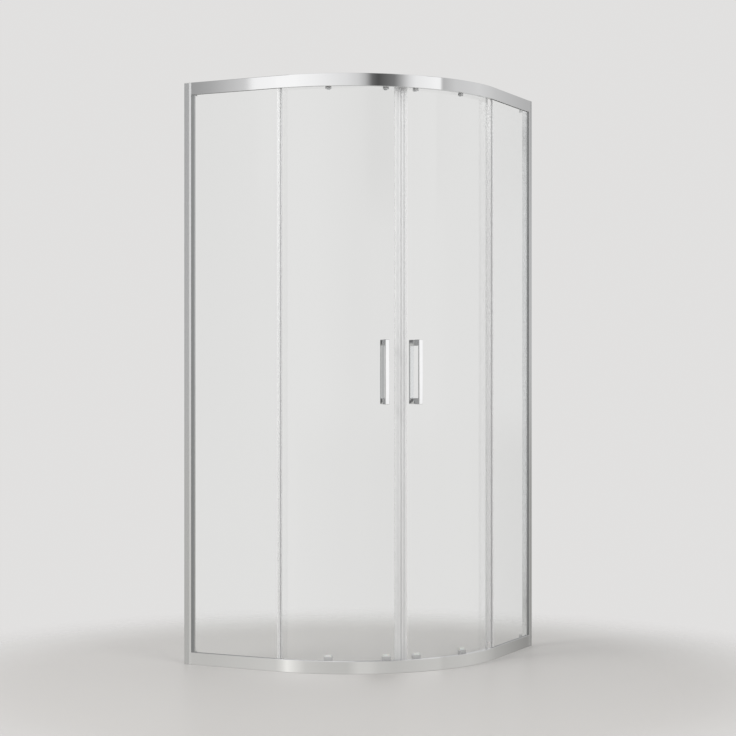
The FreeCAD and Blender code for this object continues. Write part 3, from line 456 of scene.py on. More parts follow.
def twin(mesh):
    """The same mesh mirrored on the enclosure's diagonal, its faces turned outwards again."""
    copy = mesh.copy()
    copy.transform(DIAGONAL)
    copy.flip_normals()
    return copy


def rounded(mesh, width, segments=2, angle=50, hardened=False):
    """The mesh with its sharp edges rounded. Hardened normals keep the flats between them flat."""
    if hardened:
        mesh.shade_smooth()
    item = bpy.data.objects.new("blank", mesh)
    scene.collection.objects.link(item)
    rounding = item.modifiers.new("edges", "BEVEL")
    rounding.width = width * MM
    rounding.segments = segments
    rounding.limit_method = "ANGLE"
    rounding.angle_limit = math.radians(angle)
    rounding.harden_normals = hardened
    return settle(item)


def hollowed(mesh, cutter):
    """The mesh with another one cut out of it."""
    item = bpy.data.objects.new("blank", mesh)
    tool = bpy.data.objects.new("cutter", cutter)
    scene.collection.objects.link(item)
    scene.collection.objects.link(tool)
    cut = item.modifiers.new("cut", "BOOLEAN")
    cut.object = tool
    cut.solver = "EXACT"
    made = settle(item)
    bpy.data.objects.remove(tool)
    return made


def settle(item):
    """Apply an object's modifiers and keep only the mesh."""
    view = bpy.context.evaluated_depsgraph_get()
    mesh = bpy.data.meshes.new_from_object(item.evaluated_get(view), depsgraph=view)
    bpy.data.objects.remove(item)
    return mesh


def turned(profile, steps=48):
    """Lathe work about the X axis: profile points are (along, radius) in millimetres."""
    shape = bmesh.new()
    rings = []
    for along, radius in profile:
        ring = []
        for step in range(steps):
            turn = 2 * math.pi * step / steps
            across, up = radius * MM * math.cos(turn), radius * MM * math.sin(turn)
            ring.append(shape.verts.new((along * MM, across, up)))
        rings.append(ring)
    for index, ring in enumerate(rings):
        following = rings[(index + 1) % len(rings)]
        for step in range(steps):
            after = (step + 1) % steps
            shape.faces.new((ring[step], ring[after], following[after], following[step]))
    bmesh.ops.remove_doubles(shape, verts=shape.verts, dist=SAME_POINT)
    return to_mesh("turned", shape)


# %% [markdown]
# ## Bent profiles
# A rail is one outline pushed along a path: a straight, a quarter bend and a straight. Geometry
# Nodes do just that. The path is a corner of two lines, rounded by Fillet Curve, and Curve to Mesh
# pushes the outline along it. The same tree with a plain arc as its path gives whatever lies only
# in the bend, such as the door panes.


# %% Trees for profiles
def geometry_tree(name, inputs):
    tree = bpy.data.node_groups.new(name, "GeometryNodeTree")
    tree.interface.new_socket("Geometry", in_out="INPUT", socket_type="NodeSocketGeometry")
    for label, kind in inputs:
        tree.interface.new_socket(label, in_out="INPUT", socket_type="NodeSocket" + kind)
    tree.interface.new_socket("Geometry", in_out="OUTPUT", socket_type="NodeSocketGeometry")
    return tree, tree.nodes.new("NodeGroupInput"), tree.nodes.new("NodeGroupOutput")


def end_tree(tree, feed, result, geometry):
    """Every tree ends alike: real geometry with its material."""
    real = tree.nodes.new("GeometryNodeRealizeInstances")
    paint = tree.nodes.new("GeometryNodeSetMaterial")
    link(tree, geometry, real.inputs[0])
    link(tree, real.outputs[0], paint.inputs["Geometry"])
    link(tree, feed.outputs["Material"], paint.inputs["Material"])
    link(tree, paint.outputs[0], result.inputs[0])


def push_along(tree, feed, result, path):
    """Push the outline that comes in along a path, standing upright all the way."""
    upright = tree.nodes.new("GeometryNodeSetCurveNormal")
    upright.mode = "Z_UP"
    profile = tree.nodes.new("GeometryNodeMeshToCurve")
    sweep = tree.nodes.new("GeometryNodeCurveToMesh")
    sweep.inputs["Fill Caps"].default_value = True
    link(tree, path, upright.inputs[0])
    link(tree, upright.outputs[0], sweep.inputs["Curve"])
    link(tree, feed.outputs["Geometry"], profile.inputs[0])
    link(tree, profile.outputs[0], sweep.inputs["Profile Curve"])
    end_tree(tree, feed, result, sweep.outputs[0])


def rail_tree():
    """Path with one rounded corner: a line cut in two, its middle point moved to the corner."""
    tree, feed, result = geometry_tree(
        "bent rail",
        [
            ("Start", "Vector"),
            ("Corner", "Vector"),
            ("End", "Vector"),
            ("Radius", "Float"),
            ("Steps", "Int"),
            ("Material", "Material"),
        ],
    )
    line = tree.nodes.new("GeometryNodeCurvePrimitiveLine")
    halved = tree.nodes.new("GeometryNodeSubdivideCurve")
    bent = tree.nodes.new("GeometryNodeSetPosition")
    index = tree.nodes.new("GeometryNodeInputIndex")
    middle = tree.nodes.new("FunctionNodeCompare")
    middle.data_type = "INT"
    middle.operation = "EQUAL"
    middle.inputs[3].default_value = 1
    fillet = tree.nodes.new("GeometryNodeFilletCurve")
    fillet.mode = "POLY"
    link(tree, feed.outputs["Start"], line.inputs["Start"])
    link(tree, feed.outputs["End"], line.inputs["End"])
    link(tree, line.outputs[0], halved.inputs["Curve"])
    link(tree, halved.outputs[0], bent.inputs["Geometry"])
    link(tree, index.outputs[0], middle.inputs[2])
    link(tree, middle.outputs[0], bent.inputs["Selection"])
    link(tree, feed.outputs["Corner"], bent.inputs["Position"])
    link(tree, bent.outputs[0], fillet.inputs["Curve"])
    link(tree, feed.outputs["Radius"], fillet.inputs["Radius"])
    link(tree, feed.outputs["Steps"], fillet.inputs["Count"])
    push_along(tree, feed, result, fillet.outputs[0])
    return tree


def arc_tree():
    """Path that is a plain arc about a centre."""
    tree, feed, result = geometry_tree(
        "arc profile",
        [
            ("Radius", "Float"),
            ("Start Angle", "Float"),
            ("Sweep", "Float"),
            ("Steps", "Int"),
            ("Centre", "Vector"),
            ("Material", "Material"),
        ],
    )
    arc = tree.nodes.new("GeometryNodeCurveArc")
    moved = tree.nodes.new("GeometryNodeTransform")
    link(tree, feed.outputs["Steps"], arc.inputs["Resolution"])
    link(tree, feed.outputs["Radius"], arc.inputs["Radius"])
    link(tree, feed.outputs["Start Angle"], arc.inputs["Start Angle"])
    link(tree, feed.outputs["Sweep"], arc.inputs["Sweep Angle"])
    link(tree, arc.outputs[0], moved.inputs["Geometry"])
    link(tree, feed.outputs["Centre"], moved.inputs["Translation"])
    push_along(tree, feed, result, moved.outputs[0])
    return tree


def grow(mesh, tree, **values):
    """Run a tree on a mesh with these inputs, and keep what it makes as a plain mesh."""
    item = bpy.data.objects.new("grown", mesh)
    scene.collection.objects.link(item)
    modifier = item.modifiers.new("tree", "NODES")
    modifier.node_group = tree
    sockets = {s.name: s.identifier for s in tree.interface.items_tree if s.in_out == "INPUT"}
    for label, number in values.items():
        modifier[sockets[label.replace("_", " ")]] = number
    made = settle(item)
    made.materials.clear()
    made.materials.append(values["Material"])
    return made


def outline_mesh(points, z=0.0):
    """Closed outline for a profile. Points are (outward, up), and a swept one has Y downwards."""
    mesh = bpy.data.meshes.new("outline")
    count = len(points)
    corners = [(out * MM, -(z + up) * MM, 0) for out, up in points]
    mesh.from_pydata(corners, [(i, (i + 1) % count) for i in range(count)], [])
    return mesh


def outwards(mesh):
    """Recalculate the faces so that they point outwards."""
    shape = bmesh.new()
    shape.from_mesh(mesh)
    bmesh.ops.remove_doubles(shape, verts=shape.verts, dist=SAME_POINT)
    bmesh.ops.recalc_face_normals(shape, faces=shape.faces)
    shape.to_mesh(mesh)
    shape.free()
    return mesh


RAIL_TREE = rail_tree()
ARC_TREE = arc_tree()
print("trees:", RAIL_TREE.name, "and", ARC_TREE.name)

# %% [markdown]
# ## The two rails
# Seen from the end, the top rail is a bright front, a groove for the glass, and behind it a roof
# with a shelf on which the wheels run. The bottom rail is the same idea with its shelf hooked down,
# so that the lower wheels can't jump out. Both outlines are drawn corner by corner.

# %% Rails
TOP_OUTLINE = [
    (0, 0.3), (0, 39.6), (-0.25, 40.25), (-0.75, 40.75), (-1.4, 41), (-41.7, 41), (-42, 40.7),
    (-42, 38), (-40.4, 38), (-40.4, 39.4), (-13.2, 39.4), (-13.2, 7), (-25.2, 7), (-25.2, 10),
    (-26.4, 10), (-26.4, 5.4), (-13.2, 5.4), (-13.2, 0), (-11.6, 0), (-11.6, 15), (-1.6, 15),
    (-1.6, 0.3), (-1.3, 0), (-0.3, 0),
]
BOTTOM_OUTLINE = [
    (0, 0.3), (0, 39.8), (-0.2, 40.6), (-0.6, 41), (-1.3, 41), (-1.6, 40.7), (-1.6, 26),
    (-11.6, 26), (-11.6, 41), (-13.2, 41), (-13.2, 31.6), (-26.4, 31.6), (-26.4, 25), (-25.2, 25),
    (-25.2, 30), (-13.2, 30), (-13.2, 1.6), (-40.4, 1.6), (-40.4, 7.7), (-40.7, 8), (-41.7, 8),
    (-42, 7.7), (-42, 0.3), (-41.7, 0), (-0.3, 0),
]
RAIL_START = 27.2 * MM - SIDE
RAIL_HEIGHT = 41
TOP_RAIL_FOOT = 1909


def rail(name, outline, z):
    mesh = grow(
        outline_mesh(outline, z), RAIL_TREE,
        Start=(RAIL_START, -SIDE, 0), Corner=(SIDE, -SIDE, 0), End=(SIDE, -RAIL_START, 0),
        Radius=BEND, Steps=110, Material=FINISH["polished_aluminium"],
    )
    return show(name + "_profile", outwards(mesh), "frame", "polished_aluminium", name)


for name, outline, z in (
    ("top_rail", TOP_OUTLINE, TOP_RAIL_FOOT),
    ("bottom_rail", BOTTOM_OUTLINE, 0),
):
    made = rail(name, outline, z)
    print(made.name, len(made.data.polygons), "faces")

# %% [markdown]
# Round the bend there is no fixed glass, so a snap-in strip closes the groove in each rail.

# %% Filler strips
STRIP = [
    (-11.4, 0.2), (-1.8, 0.2), (-1.8, 8.2), (-3, 8.2), (-3, 1.4), (-10.2, 1.4), (-10.2, 8.2),
    (-11.4, 8.2),
]
STRIP_ENDS = (1.71, 88.29)


def arc_piece(outline, ends, steps, finish, radius=BEND):
    """A profile that follows the bend from one angle to another."""
    low, high = ends
    return outwards(grow(
        outline_mesh(outline), ARC_TREE,
        Radius=radius, Start_Angle=math.radians(low - 90), Sweep=math.radians(high - low),
        Steps=steps, Centre=tuple(AXIS), Material=FINISH[finish],
    ))


for name, strip in (
    ("top_rail_filler", [(out, TOP_RAIL_FOOT + up) for out, up in STRIP]),
    ("bottom_rail_filler", [(out, RAIL_HEIGHT - up) for out, up in STRIP]),
):
    mesh = arc_piece(strip, STRIP_ENDS, 100, "polished_aluminium")
    filler = show(name + "_strip", mesh, "frame", "polished_aluminium", name)
    print(filler.name, len(mesh.polygons), "faces")

# %% [markdown]
# ## Curved glass
# A door pane is a tall slim outline on the same arc tree. Real toughened glass has polished edges,
# so the pane gets a fine bevel all round. The bolts and handle studs pass through holes, which are
# cut with a Boolean before the bevel. Extra rows just above and below each hole keep the cut away
# from the tall faces, so that the glass mirrors the studio without a ripple.

# %% Door panes
GLASS_FACE, GLASS = 520, 6  # radius of the pane's outer face, and its thickness
GLASS_FOOT, GLASS_TOP = 16, 1934
BOLT_HEIGHTS = (1908, 39.5)
STUD_HEIGHTS = (884, 1076)
HANDLE_ANGLE = 39.0
HOLE = 4  # radius
HOLE_ROW = 7
HOLE_HEIGHTS = BOLT_HEIGHTS + STUD_HEIGHTS
PANE_ROWS = sorted(
    [GLASS_FOOT, GLASS_TOP] + [z + step for z in HOLE_HEIGHTS for step in (-HOLE_ROW, HOLE_ROW)]
)
PANE_OUTLINE = [(0, z) for z in PANE_ROWS] + [(-GLASS, z) for z in reversed(PANE_ROWS)]


def hole_cutters():
    shape = bmesh.new()
    places = [(angle, z) for angle in ROLLERS.values() for z in BOLT_HEIGHTS]
    places += [(HANDLE_ANGLE, z) for z in STUD_HEIGHTS]
    for angle, z in places:
        where = frame_at(angle, GLASS_FACE - GLASS / 2, z) @ Matrix.Rotation(math.pi / 2, 4, "Y")
        bmesh.ops.create_cone(
            shape, cap_ends=True, segments=32, radius1=HOLE * MM, radius2=HOLE * MM, depth=30 * MM,
            matrix=where,
        )
    return to_mesh("drills", shape)


def door_pane():
    ends = (DOOR_REAR, DOOR_FRONT)
    blank = arc_piece(PANE_OUTLINE, ends, 90, "clear_glass", radius=GLASS_FACE * MM)
    return rounded(hollowed(blank, hole_cutters()), 0.8)


pane = door_pane()
show("left_door_pane", pane, "left_door", "clear_glass", "left_door_glass")
show("right_door_pane", twin(pane), "right_door", "clear_glass", "right_door_glass")
print("door pane:", len(pane.polygons), "faces")

# %% [markdown]
# ## Wheels
# Each top wheel is a nylon tyre round a small ball bearing. The tyre and the races are lathe work,
# and the balls are one small sphere repeated on a ring by Geometry Nodes.


# %% Ball ring
def ball_tree():
    tree, feed, result = geometry_tree(
        "ball ring",
        [
            ("Balls", "Int"),
            ("Ring Radius", "Float"),
            ("Ball Radius", "Float"),
            ("Along", "Float"),
            ("Material", "Material"),
        ],
    )
    ring = tree.nodes.new("GeometryNodeMeshCircle")
    ball = tree.nodes.new("GeometryNodeMeshUVSphere")
    ball.inputs["Segments"].default_value = 12
    ball.inputs["Rings"].default_value = 8
    place = tree.nodes.new("GeometryNodeInstanceOnPoints")
    stand = tree.nodes.new("GeometryNodeTransform")
    stand.inputs["Rotation"].default_value = (0, math.pi / 2, 0)
    offset = tree.nodes.new("ShaderNodeCombineXYZ")
    link(tree, feed.outputs["Balls"], ring.inputs["Vertices"])
    link(tree, feed.outputs["Ring Radius"], ring.inputs["Radius"])
    link(tree, feed.outputs["Ball Radius"], ball.inputs["Radius"])
    link(tree, ring.outputs[0], place.inputs["Points"])
    link(tree, ball.outputs["Mesh"], place.inputs["Instance"])
    link(tree, feed.outputs["Along"], offset.inputs["X"])
    link(tree, offset.outputs[0], stand.inputs["Translation"])
    link(tree, place.outputs[0], stand.inputs["Geometry"])
    end_tree(tree, feed, result, stand.outputs[0])
    return tree


BALL_TREE = ball_tree()


def joined(*meshes):
    """Several meshes as one, each keeping its own material."""
    shape = bmesh.new()
    whole = bpy.data.meshes.new("joined")
    for mesh in meshes:
        start = len(shape.faces)
        shape.from_mesh(mesh)
        shape.faces.ensure_lookup_table()
        material = mesh.materials[0]
        if material.name not in whole.materials:
            whole.materials.append(material)
        slot = whole.materials.find(material.name)
        for face in shape.faces[start:]:
            face.material_index = slot
    shape.to_mesh(whole)
    shape.free()
    return whole


def painted(mesh, finish):
    mesh.materials.clear()
    mesh.materials.append(FINISH[finish])
    return mesh


def wheel(radius, bore):
    """Nylon tyre, two races and a ring of balls, from an inner face at 0 to an outer face at 5."""
    seat = bore + 3.1
    tyre = [
        (0, seat), (0, radius - 2.6), (0.25, radius - 2.4), (0.7, radius - 2.4),
        (0.35, radius - 0.8), (0.45, radius - 0.25), (0.9, radius), (4.1, radius),
        (4.55, radius - 0.25), (4.65, radius - 0.8), (4.3, radius - 2.4), (4.75, radius - 2.4),
        (5, radius - 2.6), (5, seat),
    ]
    outer = [
        (0.3, seat - 0.7), (0.2, seat - 0.6), (0.2, seat), (4.8, seat), (4.8, seat - 0.6),
        (4.7, seat - 0.7),
    ]
    inner = [
        (0.1, bore + 0.05), (0.1, bore + 0.9), (0.2, bore + 1), (3.4, bore + 1), (3.5, bore + 0.9),
        (3.5, bore + 0.05),
    ]
    balls = grow(
        bpy.data.meshes.new("none"), BALL_TREE, Balls=9, Ring_Radius=(bore + 1.7) * MM,
        Ball_Radius=0.72 * MM, Along=1.9 * MM, Material=FINISH["stainless_screw"],
    )
    return joined(
        painted(turned(tyre, 64), "white_nylon"),
        painted(turned(outer), "stainless_screw"),
        painted(turned(inner), "stainless_screw"),
        balls,
    )


# %% Place the wheels
TRACK, TRACK_HEIGHT = 530.5, 1927.2  # radius of the top wheels' inner faces, and their height
GUIDE, GUIDE_HEIGHT = 529, 21.7  # the same for the lower ones
WHEEL_SPREAD = 12  # from the middle of a carriage to each of its wheels


def place_wheel(wheel_mesh, body, *where):
    mesh = wheel_mesh.copy()
    mesh.transform(frame_at(*where))
    show(body + "_tyre", mesh, body, "white_nylon", body)


top_wheel, guide_wheel = wheel(11, 2.5), wheel(8, 2)
for side in SIDES:
    for place, angle in ROLLERS.items():
        turn = sided(side, angle)
        for number, across in ((1, WHEEL_SPREAD), (2, -WHEEL_SPREAD)):
            body = f"{side}_{place}_wheel_{number}"
            place_wheel(top_wheel, body, turn, TRACK, TRACK_HEIGHT, across)
        place_wheel(guide_wheel, f"{side}_{place}_guide_wheel", turn, GUIDE, GUIDE_HEIGHT)
print("wheels:", len(SIDES) * len(ROLLERS) * 3)

# %% [markdown]
# ## Handles
# The pulls are flat chrome bars on two square posts, one outside and one inside each door, which
# share their studs. One outline seen from the side is pushed across, and its edges are rounded.
# Hardened normals keep the flats flat, so that only the rounding bends the reflections.

# %% Handles
HANDLE_LOW, HANDLE_HIGH = 874, 1086
POST = 20
BAR_WIDTH = 14
HANDLES = (  # where each stands, and its foot's radius, its grip's radius and its bar's thickness
    ("outer", 521.2, 556, 8),
    ("inner", 512.8, 478, -8),
)


def prism(outline, low, high, matrix):
    """Closed outline of (x, y) points in millimetres, pushed from low to high along Z."""
    shape = bmesh.new()
    floor = [shape.verts.new((x * MM, y * MM, low * MM)) for x, y in outline]
    roof = [shape.verts.new((x * MM, y * MM, high * MM)) for x, y in outline]
    shape.faces.new(floor)
    shape.faces.new(roof)
    for index, vert in enumerate(floor):
        after = (index + 1) % len(floor)
        shape.faces.new((vert, floor[after], roof[after], roof[index]))
    bmesh.ops.transform(shape, matrix=matrix, verts=shape.verts)
    return to_mesh("prism", shape)


def handle(side, foot, grip, bar):
    """Pull from its feet's radius to its grip's radius, with a bar of the given thickness."""
    back = grip - bar
    low, high = HANDLE_LOW, HANDLE_HIGH
    outline = [
        (foot, low), (grip, low), (grip, high), (foot, high), (foot, high - POST),
        (back, high - POST), (back, low + POST), (foot, low + POST),
    ]
    upright = Matrix(((1, 0, 0, 0), (0, 0, -1, 0), (0, 1, 0, 0), (0, 0, 0, 1)))
    place = frame_at(sided(side, HANDLE_ANGLE), 0, 0)
    blank = prism(outline, -BAR_WIDTH / 2, BAR_WIDTH / 2, place @ upright)
    return rounded(blank, 1.4, segments=4, angle=35, hardened=True)


for side in SIDES:
    for place, foot, grip, bar in HANDLES:
        name = f"{side}_{place}_handle"
        show(name + "_pull", handle(side, foot, grip, bar), side + "_door", "chrome", name)
print("handle:", HANDLE_HIGH - HANDLE_LOW, "mm long")

# %% [markdown]
# ## Bolts, studs and screws
# Fasteners repeat, so each kind is turned once, and a tree sets a copy at every hole. The tree
# reads its places from the points of a small mesh, and each point carries its own turn.

# %% Tree for fasteners
def fastener_tree():
    inputs = [("Fastener", "Object"), ("Material", "Material")]
    tree, feed, result = geometry_tree("fasteners in holes", inputs)
    turn = tree.nodes.new("GeometryNodeInputNamedAttribute")
    turn.data_type = "FLOAT_VECTOR"
    turn.inputs["Name"].default_value = "turn"
    rotation = tree.nodes.new("FunctionNodeEulerToRotation")
    source = tree.nodes.new("GeometryNodeObjectInfo")
    place = tree.nodes.new("GeometryNodeInstanceOnPoints")
    link(tree, turn.outputs[0], rotation.inputs[0])
    link(tree, feed.outputs["Fastener"], source.inputs["Object"])
    link(tree, feed.outputs["Geometry"], place.inputs["Points"])
    link(tree, source.outputs["Geometry"], place.inputs["Instance"])
    link(tree, rotation.outputs[0], place.inputs["Rotation"])
    end_tree(tree, feed, result, place.outputs[0])
    return tree


FASTENER_TREE = fastener_tree()


def set_in(holes, fastener, finish):
    """A copy of the fastener in every hole. Holes are matrices with +X along the shank."""
    points = bpy.data.meshes.new("holes")
    points.from_pydata([hole.translation for hole in holes], [], [])
    turns = points.attributes.new("turn", "FLOAT_VECTOR", "POINT")
    for index, hole in enumerate(holes):
        turns.data[index].vector = hole.to_euler()
    source = bpy.data.objects.new("fastener", fastener)
    made = grow(points, FASTENER_TREE, Fastener=source, Material=FINISH[finish])
    bpy.data.objects.remove(source)
    return made


def hex_recess(face, width, depth):
    """Six-sided socket from a head's face, which lies at -face on the X axis."""
    reach = width / 1.732
    turns = [math.radians(angle) for angle in range(0, 360, 60)]
    corners = [(reach * math.cos(turn), reach * math.sin(turn)) for turn in turns]
    return prism(corners, -face - 1, depth - face, Matrix.Rotation(math.pi / 2, 4, "Y"))


def cross_recess(face, width, arm, depth):
    """Cross for a screwdriver."""
    far, near = width / 2, arm / 2
    cross = [
        (far, near), (near, near), (near, far), (-near, far), (-near, near), (-far, near),
        (-far, -near), (-near, -near), (-near, -far), (near, -far), (near, -near), (far, -near),
    ]
    return prism(cross, -face - 1, depth - face, Matrix.Rotation(math.pi / 2, 4, "Y"))


# %% Bolts through the glass
BOLT_SEAT = 513.9  # radius of the face that a bolt's head lies on
STUD_START = 500
WASHER_SEATS = (520.1, 512.9)
POLE = 0.02  # radius of the closed tip of a turned piece


def domed(head, height, shank, length, steps=40):
    """Fastener about X: a dome from 0 back to its height, and a shank with a chamfered tip."""
    turns = [math.radians(angle) for angle in range(0, 90, 10)]
    dome = [(-height * math.sin(turn), head * math.cos(turn) ** 0.8) for turn in turns]
    tip = [(0.0, shank), (length - 0.5, shank), (length, shank - 0.5), (length, POLE)]
    return turned([(-height, POLE), *reversed(dome), *tip], steps)


roller_bolt = hollowed(domed(8, 4, 3, 12.7), hex_recess(4, 4, 2.4))
stud = turned([(0, POLE), (0, 2.6), (0.4, 3), (33.6, 3), (34, 2.6), (34, POLE)], 32)
washer = turned([(0, 3.15), (0, 6.2), (0.3, 6.5), (0.7, 6.5), (1, 6.2), (1, 3.15)], 40)
for side in SIDES:
    door = side + "_door"
    holes = [frame_at(sided(side, a), BOLT_SEAT, z) for a in ROLLERS.values() for z in BOLT_HEIGHTS]
    bolts = set_in(holes, roller_bolt.copy(), "chrome")
    show(side + "_bolts", bolts, door, "chrome", side + "_roller_bolts", smooth=35)
    turn = sided(side, HANDLE_ANGLE)
    starts = [frame_at(turn, STUD_START, z) for z in STUD_HEIGHTS]
    studs = set_in(starts, stud.copy(), "stainless_screw")
    faces = [frame_at(turn, radius, z) for radius in WASHER_SEATS for z in STUD_HEIGHTS]
    fixings = joined(studs, set_in(faces, washer.copy(), "white_nylon"))
    show(side + "_studs", fixings, door, "stainless_screw", side + "_handle_fixings", smooth=35)
print("bolts:", len(SIDES) * len(holes), "and studs:", len(SIDES) * len(STUD_HEIGHTS))

# %% [markdown]
# The frame's own screws lock the side profiles in the wall channels, and hold the rails' ends.

# %% Screws of the frame
SCREW_X, SCREW_Y, SCREW_HEIGHTS = -438, -420, (225, 975, 1725)
PORT_FACE, PORT_RADII, PORT_HEIGHTS = -424.6, (534.4, 526.4), (4, 1946)


def mirrored(hole):
    """The same hole on the right-hand side, with +X still along the shank."""
    place = DIAGONAL @ hole.translation
    along = DIAGONAL.to_3x3() @ hole.col[0].to_3d()
    turn = math.atan2(along.y, along.x)
    return Matrix.Translation(place) @ Matrix.Rotation(turn, 4, "Z")


side_holes = [
    Matrix.Translation((SCREW_X * MM, SCREW_Y * MM, z * MM)) @ Matrix.Rotation(-math.pi / 2, 4, "Z")
    for z in SCREW_HEIGHTS
]
port_holes = [
    Matrix.Translation((PORT_FACE * MM, (CENTRE[1] - radius) * MM, z * MM))
    for radius in PORT_RADII
    for z in PORT_HEIGHTS
]
for name, holes, screw, recess in (
    ("profile_screws", side_holes, domed(3.5, 2, 1.75, 5.2, 32), (2, 3.2, 0.8, 1.3)),
    ("rail_screws", port_holes, domed(2.3, 2, 1.95, 12, 32), (2, 2.4, 0.7, 1.2)),
):
    both = holes + [mirrored(hole) for hole in holes]
    made = set_in(both, hollowed(screw, cross_recess(*recess)), "stainless_screw")
    show(name + "_set", made, "frame", "stainless_screw", name, smooth=35)
    print(name, len(both))

# %% [markdown]
# ## Return springs
# Each lower wheel hangs on a sprung slider. The frame holds the spring as a plain sleeve, and here
# it becomes a coil: a spiral curve with a round wire on it. Pressing the button squashes the coil
# towards its lower end.

# %% Springs
SPRING_LOW, SPRING_HIGH = 33.5, 49.3
SPRING_ACROSS, SPRING_PLACE = 8.0, 524.35
COIL, WIRE = 2.45, 0.32  # outer radius of the coil, and radius of its wire


def coil_tree():
    tree, feed, result = geometry_tree(
        "coil spring",
        [
            ("Turns", "Float"),
            ("Radius", "Float"),
            ("Height", "Float"),
            ("Wire", "Float"),
            ("Material", "Material"),
        ],
    )
    spiral = tree.nodes.new("GeometryNodeCurveSpiral")
    spiral.inputs["Resolution"].default_value = 20
    wire = tree.nodes.new("GeometryNodeCurvePrimitiveCircle")
    wire.inputs["Resolution"].default_value = 8
    sweep = tree.nodes.new("GeometryNodeCurveToMesh")
    sweep.inputs["Fill Caps"].default_value = True
    link(tree, feed.outputs["Turns"], spiral.inputs["Rotations"])
    link(tree, feed.outputs["Radius"], spiral.inputs["Start Radius"])
    link(tree, feed.outputs["Radius"], spiral.inputs["End Radius"])
    link(tree, feed.outputs["Height"], spiral.inputs["Height"])
    link(tree, feed.outputs["Wire"], wire.inputs["Radius"])
    link(tree, spiral.outputs[0], sweep.inputs["Curve"])
    link(tree, wire.outputs[0], sweep.inputs["Profile Curve"])
    end_tree(tree, feed, result, sweep.outputs[0])
    return tree


tall = SPRING_HIGH - SPRING_LOW
coil = outwards(grow(
    bpy.data.meshes.new("none"), coil_tree(), Turns=7.0, Radius=(COIL - WIRE) * MM,
    Height=(tall - 2 * WIRE) * MM, Wire=WIRE * MM, Material=FINISH["stainless_screw"],
))
for side in SIDES:
    for place, angle in ROLLERS.items():
        mesh = coil.copy()
        where = frame_at(sided(side, angle), SPRING_PLACE, SPRING_LOW + WIRE, SPRING_ACROSS)
        mesh.transform(where)
        name = f"{side}_{place}_release_spring"
        spring = show(name + "_coil", mesh, side + "_door", "stainless_screw", name, smooth=60)
        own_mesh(spring)
print("springs:", len(coil.polygons), "faces each")

# %% [markdown]
# ## Magnets
# Where the doors meet, each clear seal has a square chamber with a magnet strip in it. The strips
# show through the vinyl as one pale line down the middle of the enclosure.

# %% Magnet strips
MAGNET = [(514.4, 3.5), (519.6, 3.5), (519.6, 10.3), (514.4, 10.3)]
MAGNET_ENDS = (18, 1932)
for side in SIDES:
    outline = [(radius, across if side == "left" else -across) for radius, across in MAGNET]
    strip = prism(outline, *MAGNET_ENDS, frame_at(sided(side, DOOR_FRONT), 0, 0))
    show(side + "_magnet", strip, side + "_door", "magnet_strip")
print("magnets:", len(SIDES))

# %% [markdown]
# ## Floor
# The floor is a pale disc that fades into the backdrop, so no horizon cuts through the glass. The
# rails don't mirror it, because the lower ring already holds what they show of a floor.


# %% Floor
FLOOR_RADIUS = 4
FLOOR_GAP = 0.5 * MM
FLOOR_TONE = (0.60, 0.583, 0.562, 1)
FADE_CENTRE, FADE = (0.2, -0.45, 0), (1.0, 1.8)


def fading_floor():
    """Pale floor that turns clear, from the first of the FADE distances to the second."""
    material = bpy.data.materials.new("pale_floor")
    material.use_nodes = True
    tree = material.node_tree
    shader = tree.nodes["Principled BSDF"]
    shader.inputs["Base Color"].default_value = FLOOR_TONE
    shader.inputs["Roughness"].default_value = 0.35
    place = tree.nodes.new("ShaderNodeTexCoord")
    reach = tree.nodes.new("ShaderNodeVectorMath")
    reach.operation = "DISTANCE"
    reach.inputs[1].default_value = FADE_CENTRE
    clear = tree.nodes.new("ShaderNodeBsdfTransparent")
    blend = tree.nodes.new("ShaderNodeMixShader")
    link(tree, place.outputs["Object"], reach.inputs[0])
    link(tree, passing(tree, reach.outputs["Value"], *FADE), blend.inputs[0])
    link(tree, shader.outputs[0], blend.inputs[1])
    link(tree, clear.outputs[0], blend.inputs[2])
    link(tree, blend.outputs[0], tree.nodes["Material Output"].inputs["Surface"])
    return material


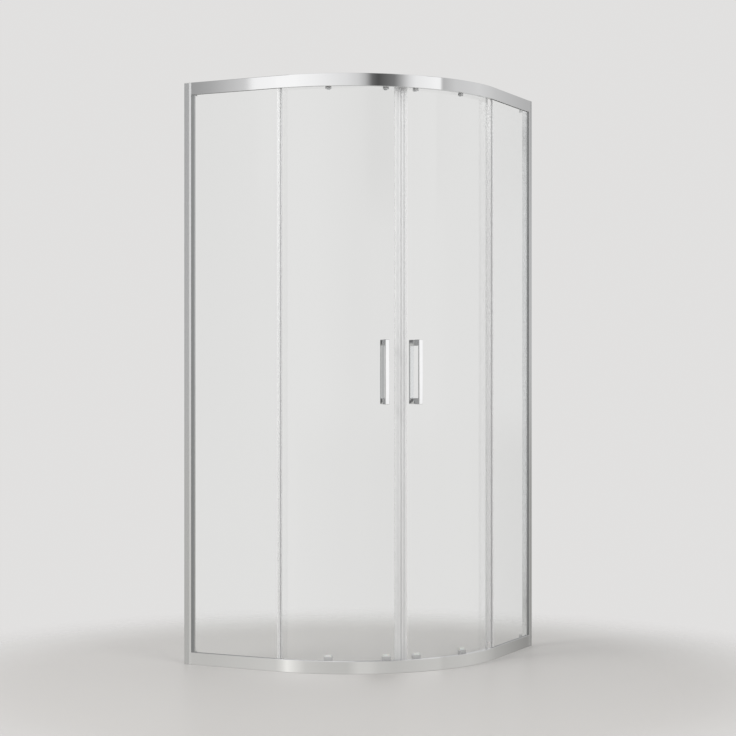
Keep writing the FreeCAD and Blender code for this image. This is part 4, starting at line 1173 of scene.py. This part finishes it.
def make_floor():
    shape = bmesh.new()
    bmesh.ops.create_circle(shape, cap_ends=True, segments=96, radius=FLOOR_RADIUS)
    mesh = bpy.data.meshes.new("floor")
    shape.to_mesh(mesh)
    shape.free()
    mesh.transform(Matrix.Translation((0, 0, -FLOOR_GAP)))
    mesh.materials.append(fading_floor())
    floor = bpy.data.objects.new("floor", mesh)
    scene.collection.objects.link(floor)
    floor.visible_glossy = False
    print("floor:", 2 * FLOOR_RADIUS, "m across")


make_floor()

# %% [markdown]
# ## Parts that stay as drawn
# Flat and small parts already have their full shape in the frame, so they keep it. Their triangles
# are welded and joined into flat faces, and a fine bevel then catches the light on each edge.

# %% Finish the other parts
WELD_REACH = 1e-6  # metres
WEARS = {  # words in a part's name, its finish, and its bevel in millimetres
    # the uprights and wall channels take the satin finish, whose darker tone is painted shade
    "wall_channel": ("satin_aluminium_with_painted_shade", 0.4),
    "side_profile": ("satin_aluminium_with_painted_shade", 0.5),
    "fixed_glass": ("clear_glass", 0.8),
    "edge_seal": ("clear_seal", 0.1),
    "magnetic_seal": ("clear_seal", 0.1),
    "rear_seal": ("clear_seal", 0.1),
    "carriage": ("zinc_casting", 0.3),
    "release_case": ("grey_plastic", 0.5),
    "release_slider": ("white_nylon", 0.4),
    "end_caps": ("grey_plastic", 0.3),
    "gaskets": ("grey_gasket", 0.2),
    "door_stops": ("black_rubber", 0.8),
}


def soften(part, width):
    """Weld, flatten and bevel a part with modifiers, so that the frame's own mesh stays."""
    weld = part.modifiers.new("weld", "WELD")
    weld.merge_threshold = WELD_REACH
    flats = part.modifiers.new("flats", "DECIMATE")
    flats.decimate_type = "DISSOLVE"
    flats.angle_limit = math.radians(0.5)
    rounding = part.modifiers.new("edges", "BEVEL")
    rounding.width = width * MM
    rounding.segments = 2
    rounding.limit_method = "ANGLE"
    rounding.angle_limit = math.radians(40)


dressed = 0
for name, part in node.items():
    if part.hide_render:
        continue
    for words, (finish, width) in WEARS.items():
        if words in name:
            part.data.materials.clear()
            part.data.materials.append(FINISH[finish])
            soften(part, width)
            dressed += 1
            break
    else:
        print("no finish for", name)
print("dressed", dressed, "parts")
